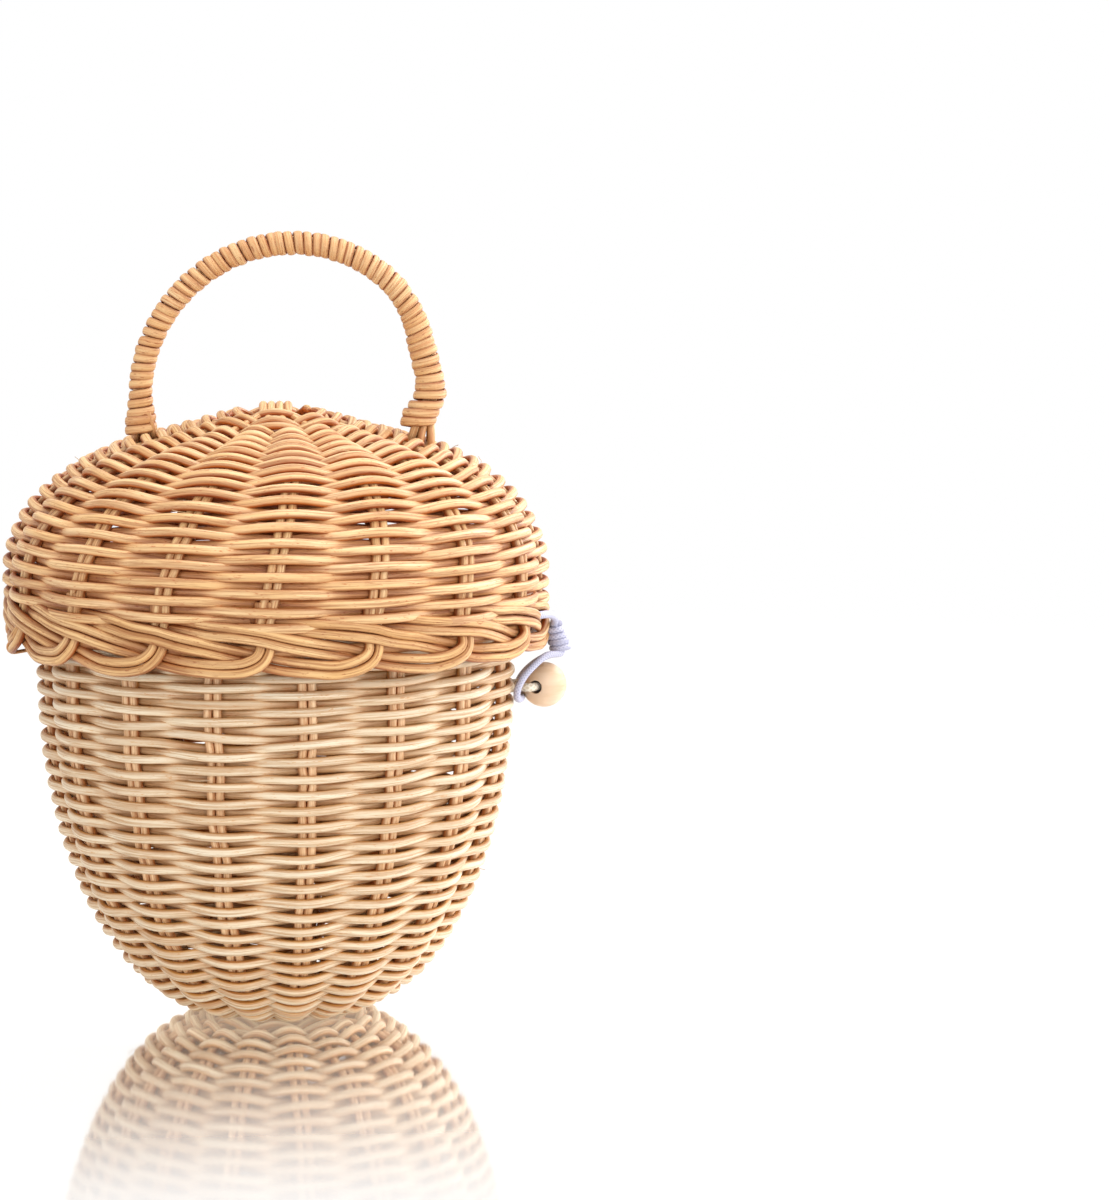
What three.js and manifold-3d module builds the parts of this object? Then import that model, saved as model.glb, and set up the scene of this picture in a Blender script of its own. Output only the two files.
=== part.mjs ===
// A lidded rattan basket: a woven cup, a woven dome lid on two cord hinge ties,
// a bound arch handle, and an elastic loop that hooks over a wooden bead.
// Millimetres, +Z up. The origin is the centre of the foot, on the ground.
// +X points at the bead, and the lid turns about an axis along Y at the -X side.

import * as THREE from 'three';
import { mergeVertices } from 'three/addons/utils/BufferGeometryUtils.js';
import Module from 'manifold-3d';

const wasm = await Module();
wasm.setup();

// Driving dimensions: the rods
const weaverDiameter = 3;
const stakeDiameter = 3;
const stakePairGap = 0.4;
const borderRound = 5.2;
const scallopDepth = 1.6;
const fitGap = 0.3;

// Driving dimensions: the cup
const cupRadius = 88.5;
const cupHeight = 158.5;
const cupBandHeight = 31.5;
const footMargin = 0.5;
const cupBorderHeight = 12.6;
const cupBorderWidth = 11.6;
const cupBorderProud = 1.3;
const cupFullnessShare = 0.5;
const cupStakeTurn = -4.35;

// Driving dimensions: the lid
const lidClearance = 1.6;
const lidBandHeight = 28;
const domeRise = 55.5;
const lidBorderHeight = 19;
const domeFullnessShare = 0.39;
const lidStakeLean = -13.85;

// Driving dimensions: the handle
const handleRadius = 53;
const handleLegHeight = 17.3;
const handleShift = 2.8;
const handleLean = 4.2;
const handleFootInset = 1.8;
const handleRodDiameter = 2.4;
const handleTurn = -2.5;
const wrapPitch = 3.2;
const wrapWidth = 2.5;
const wrapThickness = 1.5;
const handleTail = 5;

// Driving dimensions: the hinge
const hingeInset = 5;
const hingeRise = 3;
const hingeRodDiameter = 3;
const hingeRodLength = 48;
const tieReachShare = 0.206;
const tieDiameter = 1.8;
const tieCover = 2.7;
const tieNotchWidth = 4;
const tieNotchMargin = 1.6;

// Driving dimensions: the closure
const beadDiameter = 16.6;
const beadBore = 4.2;
const beadCordDiameter = 2.2;
const beadStandoff = 1.3;
const beadKnotDiameter = 5;
const elasticDiameter = 2.6;
const knotHeight = 10;
const knotDiameter = 7.6;
const knotRise = 2.4;
const knotNeck = 3.5;
const stemArch = 5.1;

// Counts and angles
const stakeCount = 16;
const slathRods = 4;
const ringColumns = 48;
const turn = 2 * Math.PI;
const stakeStep = turn / stakeCount;
const radians = THREE.MathUtils.degToRad;

// Sizes that follow
const wall = 2 * weaverDiameter + stakeDiameter;
const stakeWidth = 2 * stakeDiameter + stakePairGap;
const valleyDepth = (wall - weaverDiameter) / 2;
const slathRadius = slathRods * stakeDiameter * 0.83;
const spreadRadius = 2.2 * slathRadius;
const slathPitch = stakeDiameter + fitGap;
const slathLift = slathPitch / 2;
const slathSkin = wall / 2 - slathLift - stakeDiameter / 2 - 1.5 * fitGap;
const footRadius = spreadRadius + footMargin;
const cupInnerRadius = cupRadius - wall;
const cupBorderOuter = cupRadius + cupBorderProud;
const cupShoulderHeight = cupHeight - cupBandHeight;
const cupWeaveHeight = cupHeight - cupBorderHeight - fitGap;

// The lid goes over the cup's border, and hangs on ties through the weave just below that border.
const lidInnerRadius = cupBorderOuter + lidClearance;
const lidRadius = lidInnerRadius + wall;
const tieLoopRadius = hingeRodDiameter / 2 + fitGap + tieDiameter / 2;
const tieHoleRadius = tieLoopRadius + tieDiameter / 2 + fitGap;
const tieOffset = tieReachShare * (cupRadius - wall / 2);
const hingeX = -(lidRadius - hingeInset);
const hingeZ = cupWeaveHeight - tieCover - tieHoleRadius;
const lidRimHeight = hingeZ - hingeRise;
const domeStartHeight = lidRimHeight + lidBandHeight;
const lidHeight = domeStartHeight + domeRise;

// Materials
const colours = { cream: '#e3cfa6', honey: '#ddb07a', elastic: '#e6e6f0', bead: '#e2c49c', cord: '#e9dfc8' };

function material(name, roughness) {
  return new THREE.MeshStandardMaterial({ color: colours[name], roughness, metalness: 0 });
}

const finishes = {
  cream: material('cream', 0.55),
  honey: material('honey', 0.5),
  elastic: material('elastic', 0.8),
  bead: material('bead', 0.45),
  cord: material('cord', 0.8),
};

// A closed body through section loops: each loop has the same number of points.
// A ring joins its last loop to its first, and any other body gets flat ends.
function bodyThrough(loops, ring = false) {
  const points = loops.flat();
  const size = loops[0].length;
  const faces = [];
  const spans = ring ? loops.length : loops.length - 1;
  for (let i = 0; i < spans; i++) {
    const here = i * size;
    const next = ((i + 1) % loops.length) * size;
    for (let k = 0; k < size; k++) {
      const after = (k + 1) % size;
      faces.push(here + k, next + k, next + after, here + k, next + after, here + after);
    }
  }
  if (!ring) {
    const last = (loops.length - 1) * size;
    for (let k = 1; k < size - 1; k++) {
      faces.push(0, k, k + 1, last, last + k + 1, last + k);
    }
  }
  let volume = 0;
  for (let f = 0; f < faces.length; f += 3) {
    const [a, b, c] = [points[faces[f]], points[faces[f + 1]], points[faces[f + 2]]];
    volume += a.dot(new THREE.Vector3().crossVectors(b, c));
  }
  if (volume < 0) faces.reverse();
  const geometry = new THREE.BufferGeometry();
  geometry.setAttribute('position', new THREE.Float32BufferAttribute(points.flatMap((p) => p.toArray()), 3));
  geometry.setIndex(faces);
  return geometry;
}

function toSolid(geometry) {
  const plain = geometry.clone();
  for (const name of Object.keys(plain.attributes)) {
    if (name !== 'position') plain.deleteAttribute(name);
  }
  const merged = mergeVertices(plain);
  return new wasm.Manifold(new wasm.Mesh({
    numProp: 3,
    vertProperties: new Float32Array(merged.attributes.position.array),
    triVerts: new Uint32Array(merged.index.array),
  }));
}

// The geometry with the added pieces joined to it, and every cutter taken away.
function cutAway(geometry, cutters, added = []) {
  let solid = toSolid(geometry);
  for (const piece of added) solid = solid.add(toSolid(piece));
  for (const cutter of cutters) solid = solid.subtract(toSolid(cutter));
  const mesh = solid.getMesh();
  const result = new THREE.BufferGeometry();
  result.setAttribute('position', new THREE.Float32BufferAttribute(mesh.vertProperties, 3));
  result.setIndex(Array.from(mesh.triVerts));
  return result;
}

// An oval section of the given half sizes, in the plane of two unit directions.
function oval(at, across, out, halfWidth, halfDepth, sides) {
  const loop = [];
  for (let k = 0; k < sides; k++) {
    const angle = ((k + 0.5) / sides) * turn;
    loop.push(at.clone()
      .addScaledVector(across, halfWidth * Math.cos(angle))
      .addScaledVector(out, halfDepth * Math.sin(angle)));
  }
  return loop;
}

// A round cord along a curve: its radius may follow the share of the way along.
function cordAlong(curve, steps, radiusAt, sides) {
  const frames = curve.computeFrenetFrames(steps, false);
  const loops = [];
  for (let i = 0; i <= steps; i++) {
    const at = curve.getPointAt(i / steps);
    const radius = radiusAt(i / steps);
    loops.push(oval(at, frames.normals[i], frames.binormals[i], radius, radius, sides));
  }
  return bodyThrough(loops);
}

function around(radius, angle, height) {
  return new THREE.Vector3(radius * Math.cos(angle), radius * Math.sin(angle), height);
}

// Outer wall of the cup: a flat foot, then a quarter of an oval, then straight up.
function cupOutline() {
  const rows = [{ r: slathRadius, z: 0 }, { r: spreadRadius, z: 0 }];
  const arcShares = [0.02, 0.14, 0.3, 0.5, 0.74, 1];
  for (const share of arcShares) {
    const angle = share * Math.PI / 2;
    rows.push({
      r: footRadius + (cupRadius - footRadius) * Math.sin(angle) ** (2 * cupFullnessShare),
      z: cupShoulderHeight * (1 - Math.cos(angle)),
    });
  }
  rows.push({ r: cupRadius, z: cupWeaveHeight });
  return rows;
}

// Outer wall of the lid, from its crown down to the top of its border.
function lidOutline() {
  const rows = [];
  const arcShares = [1, 0.8, 0.62, 0.42, 0.22, 0];
  const domeRadius = (angle) => lidRadius * Math.cos(angle) ** (2 * domeFullnessShare);
  for (const radius of [slathRadius, spreadRadius]) rows.push({ r: radius, z: domeHeightAt(radius) });
  const startShare = Math.asin((domeHeightAt(spreadRadius * 1.35) - domeStartHeight)
    / (lidHeight - domeStartHeight));
  for (const share of arcShares) {
    rows.push({
      r: domeRadius(share * startShare),
      z: domeStartHeight + (lidHeight - domeStartHeight) * Math.sin(share * startShare),
    });
  }
  rows.push({ r: lidRadius, z: lidRimHeight + lidBorderHeight + fitGap });
  return rows;
}

function domeHeightAt(radius) {
  const share = Math.min(1, radius / lidRadius) ** (1 / domeFullnessShare);
  return domeStartHeight + (lidHeight - domeStartHeight) * Math.sqrt(1 - share);
}

// Gives each row its inward direction, square to the outline, and its way along it.
function withNormals(rows, inwardUp) {
  let way = 0;
  return rows.map((row, i) => {
    const before = rows[Math.max(0, i - 1)];
    const after = rows[Math.min(rows.length - 1, i + 1)];
    const tangent = new THREE.Vector2(after.r - before.r, after.z - before.z).normalize();
    const inward = new THREE.Vector2(-tangent.y, tangent.x).multiplyScalar(inwardUp);
    if (i === rows.length - 1) inward.set(-1, 0);
    if (i === 0) inward.set(0, inwardUp);
    if (i > 0) way += Math.hypot(row.r - before.r, row.z - before.z);
    return { ...row, inR: inward.x, inZ: inward.y, way };
  });
}

// Where the stakes are turned to at each row: a fixed turn, and a lean that grows down the wall.
function stakeTurnAt(row, rows, fixedTurn, lean) {
  const total = rows[rows.length - 1].way;
  return radians(fixedTurn + lean * Math.max(0, row.way / total));
}

function stakeHalfWidth(radius) {
  const spread = THREE.MathUtils.smoothstep(radius, slathRadius, 1.15 * spreadRadius);
  return (stakeDiameter + (stakeWidth - stakeDiameter) * spread) / 2;
}

// The woven wall: it swells where the weavers go round a stake, is one weaver thick midway
// between two stakes, and has a channel for each stake on its inside.
function wovenWall(rows, fixedTurn, lean) {
  const loops = [];
  const floorDepth = wall / 2 - stakeDiameter / 2 - fitGap;
  for (let stake = 0; stake < stakeCount; stake++) {
    for (const column of [-1, 1, 2, 3, 4]) {
      const outer = [];
      const inner = [];
      const valley = column === 3 ? valleyDepth : 0;
      rows.forEach((row, i) => {
        const centre = (stake + 0.5) * stakeStep + stakeTurnAt(row, rows, fixedTurn, lean);
        const half = Math.asin((stakeHalfWidth(row.r) + fitGap) / row.r);
        const edge = half + fitGap / row.r;
        const angle = {
          [-1]: centre - half,
          1: centre + half,
          2: centre + edge,
          3: centre + stakeStep / 2,
          4: centre + stakeStep - edge,
        }[column];
        const isChannel = column < 2;
        const isCentre = i < 2;
        const skin = i === 0 ? slathSkin : floorDepth;
        const from = isCentre ? 0 : valley;
        const to = isChannel || isCentre ? skin : wall - valley;
        outer.push(around(row.r + from * row.inR, angle, row.z + from * row.inZ));
        inner.push(around(row.r + to * row.inR, angle, row.z + to * row.inZ));
      });
      loops.push([...outer, ...inner.reverse()]);
    }
  }
  return bodyThrough(loops, true);
}

// One double stake: up one side of the wall, through the cross at the centre, and up the other.
function stakeBody(rows, fixedTurn, lean, side, index, inwardUp) {
  const ends = side === 0 ? 0 : Math.PI / 2;
  const slot = index - (slathRods - 1) / 2;
  const layer = side === 0 ? -inwardUp * slathLift : inwardUp * slathLift;
  const middle = wall / 2;
  const half = (direction) => rows.slice(1).map((row) => {
    const fan = slot * stakeStep;
    const angle = ends + (direction > 0 ? fan : Math.PI - fan) + stakeTurnAt(row, rows, fixedTurn, lean);
    const at = around(row.r + middle * row.inR, angle, row.z + middle * row.inZ);
    const out = around(-row.inR, angle, -row.inZ);
    const across = around(1, angle + Math.PI / 2, 0);
    return oval(at, across, out, stakeHalfWidth(row.r) / Math.cos(Math.PI / 6), stakeDiameter / 2, 6);
  });
  const crossing = (direction) => {
    const turned = ends + radians(fixedTurn);
    const forward = around(1, turned, 0);
    const across = around(1, turned + Math.PI / 2, 0);
    const lift = rows[0].z + inwardUp * (middle + layer);
    const at = forward.clone().multiplyScalar(direction * 0.88 * slathRadius)
      .addScaledVector(across, slot * slathPitch);
    at.z = lift;
    const out = new THREE.Vector3(0, 0, -inwardUp);
    const width = stakeDiameter / 2 / Math.cos(Math.PI / 6);
    return oval(at, across.multiplyScalar(direction), out, width, stakeDiameter / 2, 6);
  };
  const flipped = (loop) => loop.map((_, k) => loop[(1.5 * loop.length - 1 - k) % loop.length]);
  const far = [crossing(-1), ...half(-1)].map(flipped).reverse();
  return bodyThrough([...far, crossing(1), ...half(1)]);
}

// A braided border as one ring: sixteen soft scallops on its free edge.
function borderRing(innerRadius, outerRadius, joinHeight, freeHeight) {
  const sense = Math.sign(freeHeight - joinHeight);
  const roundShares = [[1, 0], [0.8, 0.79], [0.5, 1], [0.2, 0.79], [0, 0]];
  const loops = [];
  for (let i = 0; i < ringColumns; i++) {
    const angle = (i / ringColumns) * turn;
    const dip = scallopDepth * (1 - Math.abs(Math.sin(angle * stakeCount / 2)));
    const place = (widthShare, height) => around(
      innerRadius + (outerRadius - innerRadius) * widthShare, angle, height);
    const edge = roundShares.map(([widthShare, riseShare]) => (
      place(widthShare, freeHeight - sense * (dip + borderRound * (1 - riseShare)))));
    loops.push([place(0, joinHeight), place(1, joinHeight), ...edge]);
  }
  return bodyThrough(loops, true);
}

// The closure stands midway between two cup stakes, and the hinge is at the back.
const closureAngle = radians(cupStakeTurn);
const closure = (outward, sideways, height) => {
  const place = around(outward, closureAngle, height);
  return place.addScaledVector(around(1, closureAngle + Math.PI / 2, 0), sideways);
};

// How far the cup's wall falls back at a distance from the middle between two stakes.
function valleyAt(sideways) {
  const halfBay = cupRadius * Math.sin(stakeStep / 2) - stakeWidth / 2;
  return valleyDepth * Math.max(0, 1 - Math.abs(sideways) / halfBay);
}

// The hinge axis runs along Y through the lower outer part of the lid's border.
function rodAlongY(radius, length, x, y, z, sides = 12) {
  const geometry = new THREE.CylinderGeometry(radius, radius, length, sides);
  return geometry.translate(x, y, z);
}

// A hinge tie: round the hinge rod, through the cup's wall, and round a bar of weave inside it.
function tieRoute(side) {
  const y = side * tieOffset;
  const innerEnd = -Math.sqrt(cupInnerRadius ** 2 - y ** 2);
  const bend = (x, from) => {
    const points = [];
    for (let i = 0; i <= 6; i++) {
      const angle = from + Math.PI * (i / 6);
      const [across, up] = [Math.cos(angle), Math.sin(angle)];
      points.push(new THREE.Vector3(x + tieLoopRadius * across, y, hingeZ + tieLoopRadius * up));
    }
    return points;
  };
  return [...bend(hingeX, Math.PI / 2), ...bend(innerEnd, -Math.PI / 2)];
}

function tieBody(side, radius) {
  const points = tieRoute(side);
  const sideways = new THREE.Vector3(0, 1, 0);
  const loops = points.map((point, i) => {
    const before = points[(i + points.length - 1) % points.length];
    const after = points[(i + 1) % points.length];
    const tangent = after.clone().sub(before).normalize();
    const out = new THREE.Vector3().crossVectors(sideways, tangent);
    return oval(point, sideways, out, radius, radius, 6);
  });
  return bodyThrough(loops, true);
}

// The bead's cord: from a knot inside the cup, round through the bead, and back to a second knot.
const beadRadius = beadDiameter / 2;
const beadReach = cupRadius + beadStandoff + beadRadius;
const beadCordRadius = beadCordDiameter / 2;
const knotMiddle = lidRimHeight + knotRise;
const knotTop = knotMiddle + knotHeight / 2;
const knotBottom = knotMiddle - knotHeight / 2;
const beadCordHeight = knotBottom - knotNeck - beadRadius;
const beadCordSpread = 0.66 * beadRadius;
const beadKnotEdge = beadCordSpread + beadKnotDiameter / 2;
const beadCordSeat = Math.sqrt(cupInnerRadius ** 2 - beadCordSpread ** 2) + valleyAt(beadKnotEdge);
const beadCordStart = beadCordSeat - 3 * fitGap - beadKnotDiameter;

function beadCordCurve() {
  const clear = beadRadius + beadCordRadius;
  const side = (sign) => [
    closure(beadCordStart, sign * beadCordSpread, beadCordHeight),
    closure(cupInnerRadius + wall / 2, sign * beadCordSpread, beadCordHeight),
    closure(cupRadius + beadCordRadius, sign * 0.82 * beadRadius, beadCordHeight),
    closure(beadReach - 0.72 * clear, sign * 0.86 * clear, beadCordHeight),
    closure(beadReach - 0.32 * clear, sign * 1.14 * clear, beadCordHeight),
    closure(beadReach - 0.03 * clear, sign * 1.12 * clear, beadCordHeight),
    closure(beadReach, sign * 0.8 * clear, beadCordHeight),
  ];
  return new THREE.CatmullRomCurve3([...side(-1), ...side(1).reverse()], false, 'centripetal');
}

function beadCordRadiusAt(share) {
  const fromEnd = Math.min(share, 1 - share) * beadCordCurve().getLength() / beadKnotDiameter;
  if (fromEnd >= 1) return beadCordRadius;
  return beadCordRadius + (beadKnotDiameter / 2 - beadCordRadius) * Math.sin(Math.PI * fromEnd);
}

function beadBody() {
  const bore = beadBore / 2;
  const end = Math.acos(bore / beadRadius);
  const profile = [];
  for (let i = 0; i <= 8; i++) {
    const angle = -end + 2 * end * (i / 8);
    profile.push(new THREE.Vector2(beadRadius * Math.cos(angle), beadRadius * Math.sin(angle)));
  }
  profile.push(profile[0].clone());
  return new THREE.LatheGeometry(profile, 14);
}

// The elastic: a stem out of the lid's weave, a wound knot, and the loop hooked behind the bead.
const elasticRadius = elasticDiameter / 2;
const knotReach = lidRadius + fitGap + knotDiameter / 2 + fitGap;
const stemHeight = knotTop + stemArch;
const stemSide = -4.5 * elasticRadius;

function stemCurve() {
  return new THREE.CatmullRomCurve3([
    closure(lidInnerRadius + fitGap, stemSide, stemHeight),
    closure(lidRadius - elasticRadius, stemSide, stemHeight),
    closure(lidRadius + elasticDiameter, 0.6 * stemSide, stemHeight - 0.4 * elasticRadius),
    closure(knotReach - 0.1 * elasticRadius, 0.1 * stemSide, (stemHeight + knotTop) / 2 + elasticRadius),
    closure(knotReach, 0, knotTop + fitGap + 0.7 * elasticRadius),
    closure(knotReach, 0, knotTop + 1.5 * fitGap),
  ], false, 'centripetal');
}

function knotBody() {
  const radiusShares = [[0.5, 0], [0.86, 0.12], [1, 0.35], [1, 0.65], [0.86, 0.88], [0.5, 1]];
  const profile = [new THREE.Vector2(0, 0)];
  for (const [widthShare, heightShare] of radiusShares) {
    profile.push(new THREE.Vector2(widthShare * knotDiameter / 2, heightShare * knotHeight));
  }
  profile.push(new THREE.Vector2(0, knotHeight));
  return new THREE.LatheGeometry(profile, 12).rotateX(Math.PI / 2);
}

function loopCurve() {
  const hookWidth = 0.82 * beadRadius + beadCordRadius + elasticDiameter;
  const hookReach = cupRadius + fitGap + elasticRadius;
  const hookBack = hookReach - valleyAt(0.5 * hookWidth);
  const hookHeight = beadCordHeight - beadCordRadius - elasticRadius - 2 * fitGap;
  const fall = knotBottom - beadCordHeight;
  const reach = knotReach - hookReach;
  const side = (sign) => [
    closure(knotReach, sign * 1.35 * elasticRadius, knotBottom - 1.5 * fitGap),
    closure(knotReach, sign * 1.45 * elasticRadius, knotBottom - 1.5 * fitGap - 0.7 * elasticRadius),
    closure(hookReach + 0.88 * reach, sign * 0.62 * beadRadius, beadCordHeight + 0.78 * fall),
    closure(hookReach + 0.62 * reach, sign * 1.08 * beadRadius, beadCordHeight + 0.62 * fall),
    closure(hookReach + 0.3 * reach, sign * 1.38 * beadRadius, beadCordHeight + 0.34 * fall),
    closure(hookReach + 0.07 * reach, sign * 1.42 * beadRadius, beadCordHeight + 0.02 * fall),
    closure(hookReach, sign * hookWidth, hookHeight + 0.3 * elasticRadius),
    closure(hookBack, sign * 0.5 * hookWidth, hookHeight - 0.3 * elasticRadius),
  ];
  return new THREE.CatmullRomCurve3([...side(-1), ...side(1).reverse()], false, 'centripetal');
}

// The handle: two slightly leaning legs and a half circle, as a share of the whole way.
const handlePlane = new THREE.Matrix4().makeRotationZ(radians(handleTurn));
const footSpan = handleRadius - handleFootInset;
const footHeight = domeHeightAt(footSpan + handleShift);
const handleCentreHeight = footHeight + handleLegHeight;
const handleSlope = handleLean / (handleLegHeight + handleRadius);
const legBottom = footHeight - wall - handleTail;
const legLength = handleCentreHeight - legBottom;
const handleWay = 2 * legLength + Math.PI * handleRadius;

// Centre, direction and inward side of the handle at a way along it, in its own upright plane.
function handleFrame(way) {
  const side = way < handleWay / 2 ? -1 : 1;
  const fromFoot = Math.min(way, handleWay - way);
  const at = new THREE.Vector3();
  const along = new THREE.Vector3();
  if (fromFoot < legLength) {
    const rise = fromFoot / legLength;
    at.set(side * (footSpan + handleFootInset * rise), 0, legBottom + fromFoot);
    along.set(handleFootInset / legLength, 0, 1).normalize();
    along.x *= side;
  } else {
    const angle = (fromFoot - legLength) / handleRadius;
    at.set(side * handleRadius * Math.cos(angle), 0, handleCentreHeight + handleRadius * Math.sin(angle));
    along.set(-side * Math.sin(angle), 0, Math.cos(angle));
  }
  at.x += handleShift + handleSlope * (at.z - footHeight);
  along.x += handleSlope * along.z;
  along.normalize();
  if (side > 0) along.negate();
  const sideways = new THREE.Vector3(0, 1, 0);
  const out = new THREE.Vector3().crossVectors(along, sideways).normalize();
  for (const vector of [at, along, sideways, out]) vector.applyMatrix4(handlePlane);
  return { at, along, sideways, out };
}

const wrapHalf = wrapThickness / 2;
const rodRing = (handleRodDiameter + fitGap) / Math.sqrt(3);
const wrapRadius = (rodRing + handleRodDiameter / 2 + fitGap + wrapHalf) / Math.cos(Math.PI / 8);
const wrapOuterRadius = wrapRadius + wrapHalf;

// How far along the leg the binding starts: just above the dome beside it.
function wrapStart(side) {
  const insideRadius = footSpan + side * handleShift - wrapOuterRadius;
  return domeHeightAt(insideRadius) + fitGap + wrapWidth / 2 - legBottom;
}

function handleRod(index) {
  const angle = (index / 3) * turn + Math.PI / 2;
  const steps = 24;
  const loops = [];
  for (let i = 0; i <= steps; i++) {
    const frame = handleFrame((i / steps) * handleWay);
    const centre = frame.at.clone()
      .addScaledVector(frame.sideways, rodRing * Math.cos(angle))
      .addScaledVector(frame.out, rodRing * Math.sin(angle));
    loops.push(oval(centre, frame.sideways, frame.out, handleRodDiameter / 2, handleRodDiameter / 2, 6));
  }
  return bodyThrough(loops);
}

// The binding: one flat strand wound round the rods from foot to foot.
function wrapLoops() {
  const stepsPerTurn = 8;
  const first = wrapStart(-1);
  const length = handleWay - first - wrapStart(1);
  const wrapTurns = Math.round(length / wrapPitch);
  const steps = wrapTurns * stepsPerTurn;
  const loops = [];
  for (let i = 0; i <= steps; i++) {
    const frame = handleFrame(first + length * (i / steps));
    const angle = (i / stepsPerTurn) * turn;
    const out = frame.sideways.clone().multiplyScalar(Math.cos(angle))
      .addScaledVector(frame.out, Math.sin(angle));
    const centre = frame.at.clone().addScaledVector(out, wrapRadius);
    loops.push(oval(centre, frame.along, out, wrapWidth / 2, wrapHalf, 5));
  }
  return { loops, stepsPerTurn, turns: wrapTurns };
}

function leastGap({ loops, stepsPerTurn }) {
  let least = Infinity;
  for (let i = 0; i + stepsPerTurn + 1 < loops.length; i++) {
    for (const other of [stepsPerTurn - 1, stepsPerTurn, stepsPerTurn + 1]) {
      for (const a of loops[i]) {
        for (const b of loops[i + other]) least = Math.min(least, a.distanceTo(b));
      }
    }
  }
  return least;
}

function handleHole(side) {
  const radius = (rodRing + handleRodDiameter / 2 + fitGap) / Math.cos(Math.PI / 12);
  const foot = handleFrame(side < 0 ? 0 : handleWay);
  const geometry = new THREE.CylinderGeometry(radius, radius, 2 * legLength, 12);
  const upright = new THREE.Vector3(0, 1, 0);
  geometry.applyQuaternion(new THREE.Quaternion().setFromUnitVectors(upright, foot.along));
  return geometry.translate(foot.at.x, foot.at.y, foot.at.z);
}

// Assembly
const basket = new THREE.Group();

function addPart(name, geometry, finish) {
  const mesh = new THREE.Mesh(geometry, finishes[finish]);
  mesh.name = name;
  basket.add(mesh);
  return mesh;
}

const cupRows = withNormals(cupOutline(), 1);
const lidRows = withNormals(lidOutline(), -1);

// The cup
const beadCordCuts = cordAlong(beadCordCurve(), 30, () => beadCordRadius + fitGap, 6);
const tieCuts = [-1, 1].map((side) => tieBody(side, (tieDiameter / 2 + fitGap) / Math.cos(Math.PI / 6)));
const footFloor = new THREE.CylinderGeometry(slathRadius + fitGap, slathRadius + fitGap, slathSkin, 32)
  .rotateX(Math.PI / 2).translate(0, 0, slathSkin / 2);
const cupWall = wovenWall(cupRows, cupStakeTurn, 0);
addPart('cup_weave', cutAway(cupWall, [beadCordCuts, ...tieCuts], [footFloor]), 'cream');
for (let i = 0; i < 2 * slathRods; i++) {
  const body = stakeBody(cupRows, cupStakeTurn, 0, Math.floor(i / slathRods), i % slathRods, 1);
  addPart(`cup_stake_${i + 1}`, body, 'cream');
}
addPart('cup_border', borderRing(cupBorderOuter - cupBorderWidth, cupBorderOuter,
  cupHeight - cupBorderHeight, cupHeight), 'cream');

// The lid
const lidWall = cutAway(wovenWall(lidRows, 0, lidStakeLean), [handleHole(-1), handleHole(1)]);
addPart('lid_weave', lidWall, 'honey');
for (let i = 0; i < 2 * slathRods; i++) {
  const body = stakeBody(lidRows, 0, lidStakeLean, Math.floor(i / slathRods), i % slathRods, -1);
  addPart(`lid_stake_${i + 1}`, body, 'honey');
}
const notchRadius = tieLoopRadius + tieDiameter / 2 + tieNotchMargin;
const hingeCuts = [rodAlongY(hingeRodDiameter / 2 + fitGap, hingeRodLength + 2 * fitGap, hingeX, 0, hingeZ)];
for (const side of [-1, 1]) {
  const y = side * tieOffset;
  hingeCuts.push(rodAlongY(notchRadius, tieNotchWidth, hingeX, y, hingeZ, 20));
  const slotLength = lidRadius;
  const slotHeight = 2 * tieHoleRadius;
  hingeCuts.push(new THREE.BoxGeometry(slotLength, tieNotchWidth, slotHeight)
    .translate(hingeX + slotLength / 2, y, hingeZ));
}
const lidBorder = borderRing(lidInnerRadius, lidRadius + fitGap, lidRimHeight + lidBorderHeight, lidRimHeight);
const stemCut = cordAlong(stemCurve(), 12, () => elasticRadius + fitGap, 6);
addPart('lid_border', cutAway(lidBorder, [...hingeCuts, stemCut]), 'honey');

// The handle
for (let i = 0; i < 3; i++) addPart(`handle_rod_${i + 1}`, handleRod(i), 'honey');
const wrap = wrapLoops();
console.log(`handle_wrap: ${wrap.turns} turns, least gap between them ${leastGap(wrap).toFixed(2)} mm`);
addPart('handle_wrap', bodyThrough(wrap.loops), 'honey');

// The hinge
addPart('lid_hinge_rod', rodAlongY(hingeRodDiameter / 2, hingeRodLength, hingeX, 0, hingeZ), 'honey');
addPart('hinge_tie_front', tieBody(-1, tieDiameter / 2), 'cream');
addPart('hinge_tie_back', tieBody(1, tieDiameter / 2), 'cream');

// The closure
const bead = addPart('bead', beadBody(), 'bead');
bead.position.copy(closure(beadReach, 0, beadCordHeight));
bead.rotation.z = closureAngle;
addPart('bead_cord', cordAlong(beadCordCurve(), 30, beadCordRadiusAt, 6), 'cord');
addPart('closure_stem', cordAlong(stemCurve(), 12, () => elasticRadius, 6), 'elastic');
const knot = addPart('closure_knot', knotBody(), 'elastic');
knot.position.copy(closure(knotReach, 0, knotBottom));
addPart('closure_loop', cordAlong(loopCurve(), 28, () => elasticRadius, 6), 'elastic');

export default basket;
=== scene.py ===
"""A lidded rattan basket: woven cup, woven dome lid, bound arch handle, elastic loop over a wooden bead.
Sizes are in millimetres until a mesh is made, in the frame of the CAD model."""

import math

import bpy
import numpy as np
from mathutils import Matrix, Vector


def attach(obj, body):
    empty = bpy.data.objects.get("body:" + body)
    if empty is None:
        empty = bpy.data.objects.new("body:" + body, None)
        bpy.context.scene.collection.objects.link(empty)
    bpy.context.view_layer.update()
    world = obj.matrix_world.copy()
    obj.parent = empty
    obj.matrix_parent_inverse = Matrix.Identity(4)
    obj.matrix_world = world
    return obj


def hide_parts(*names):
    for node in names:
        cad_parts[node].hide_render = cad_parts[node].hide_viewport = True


MM = 0.001
TURN = 2 * math.pi

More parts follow.
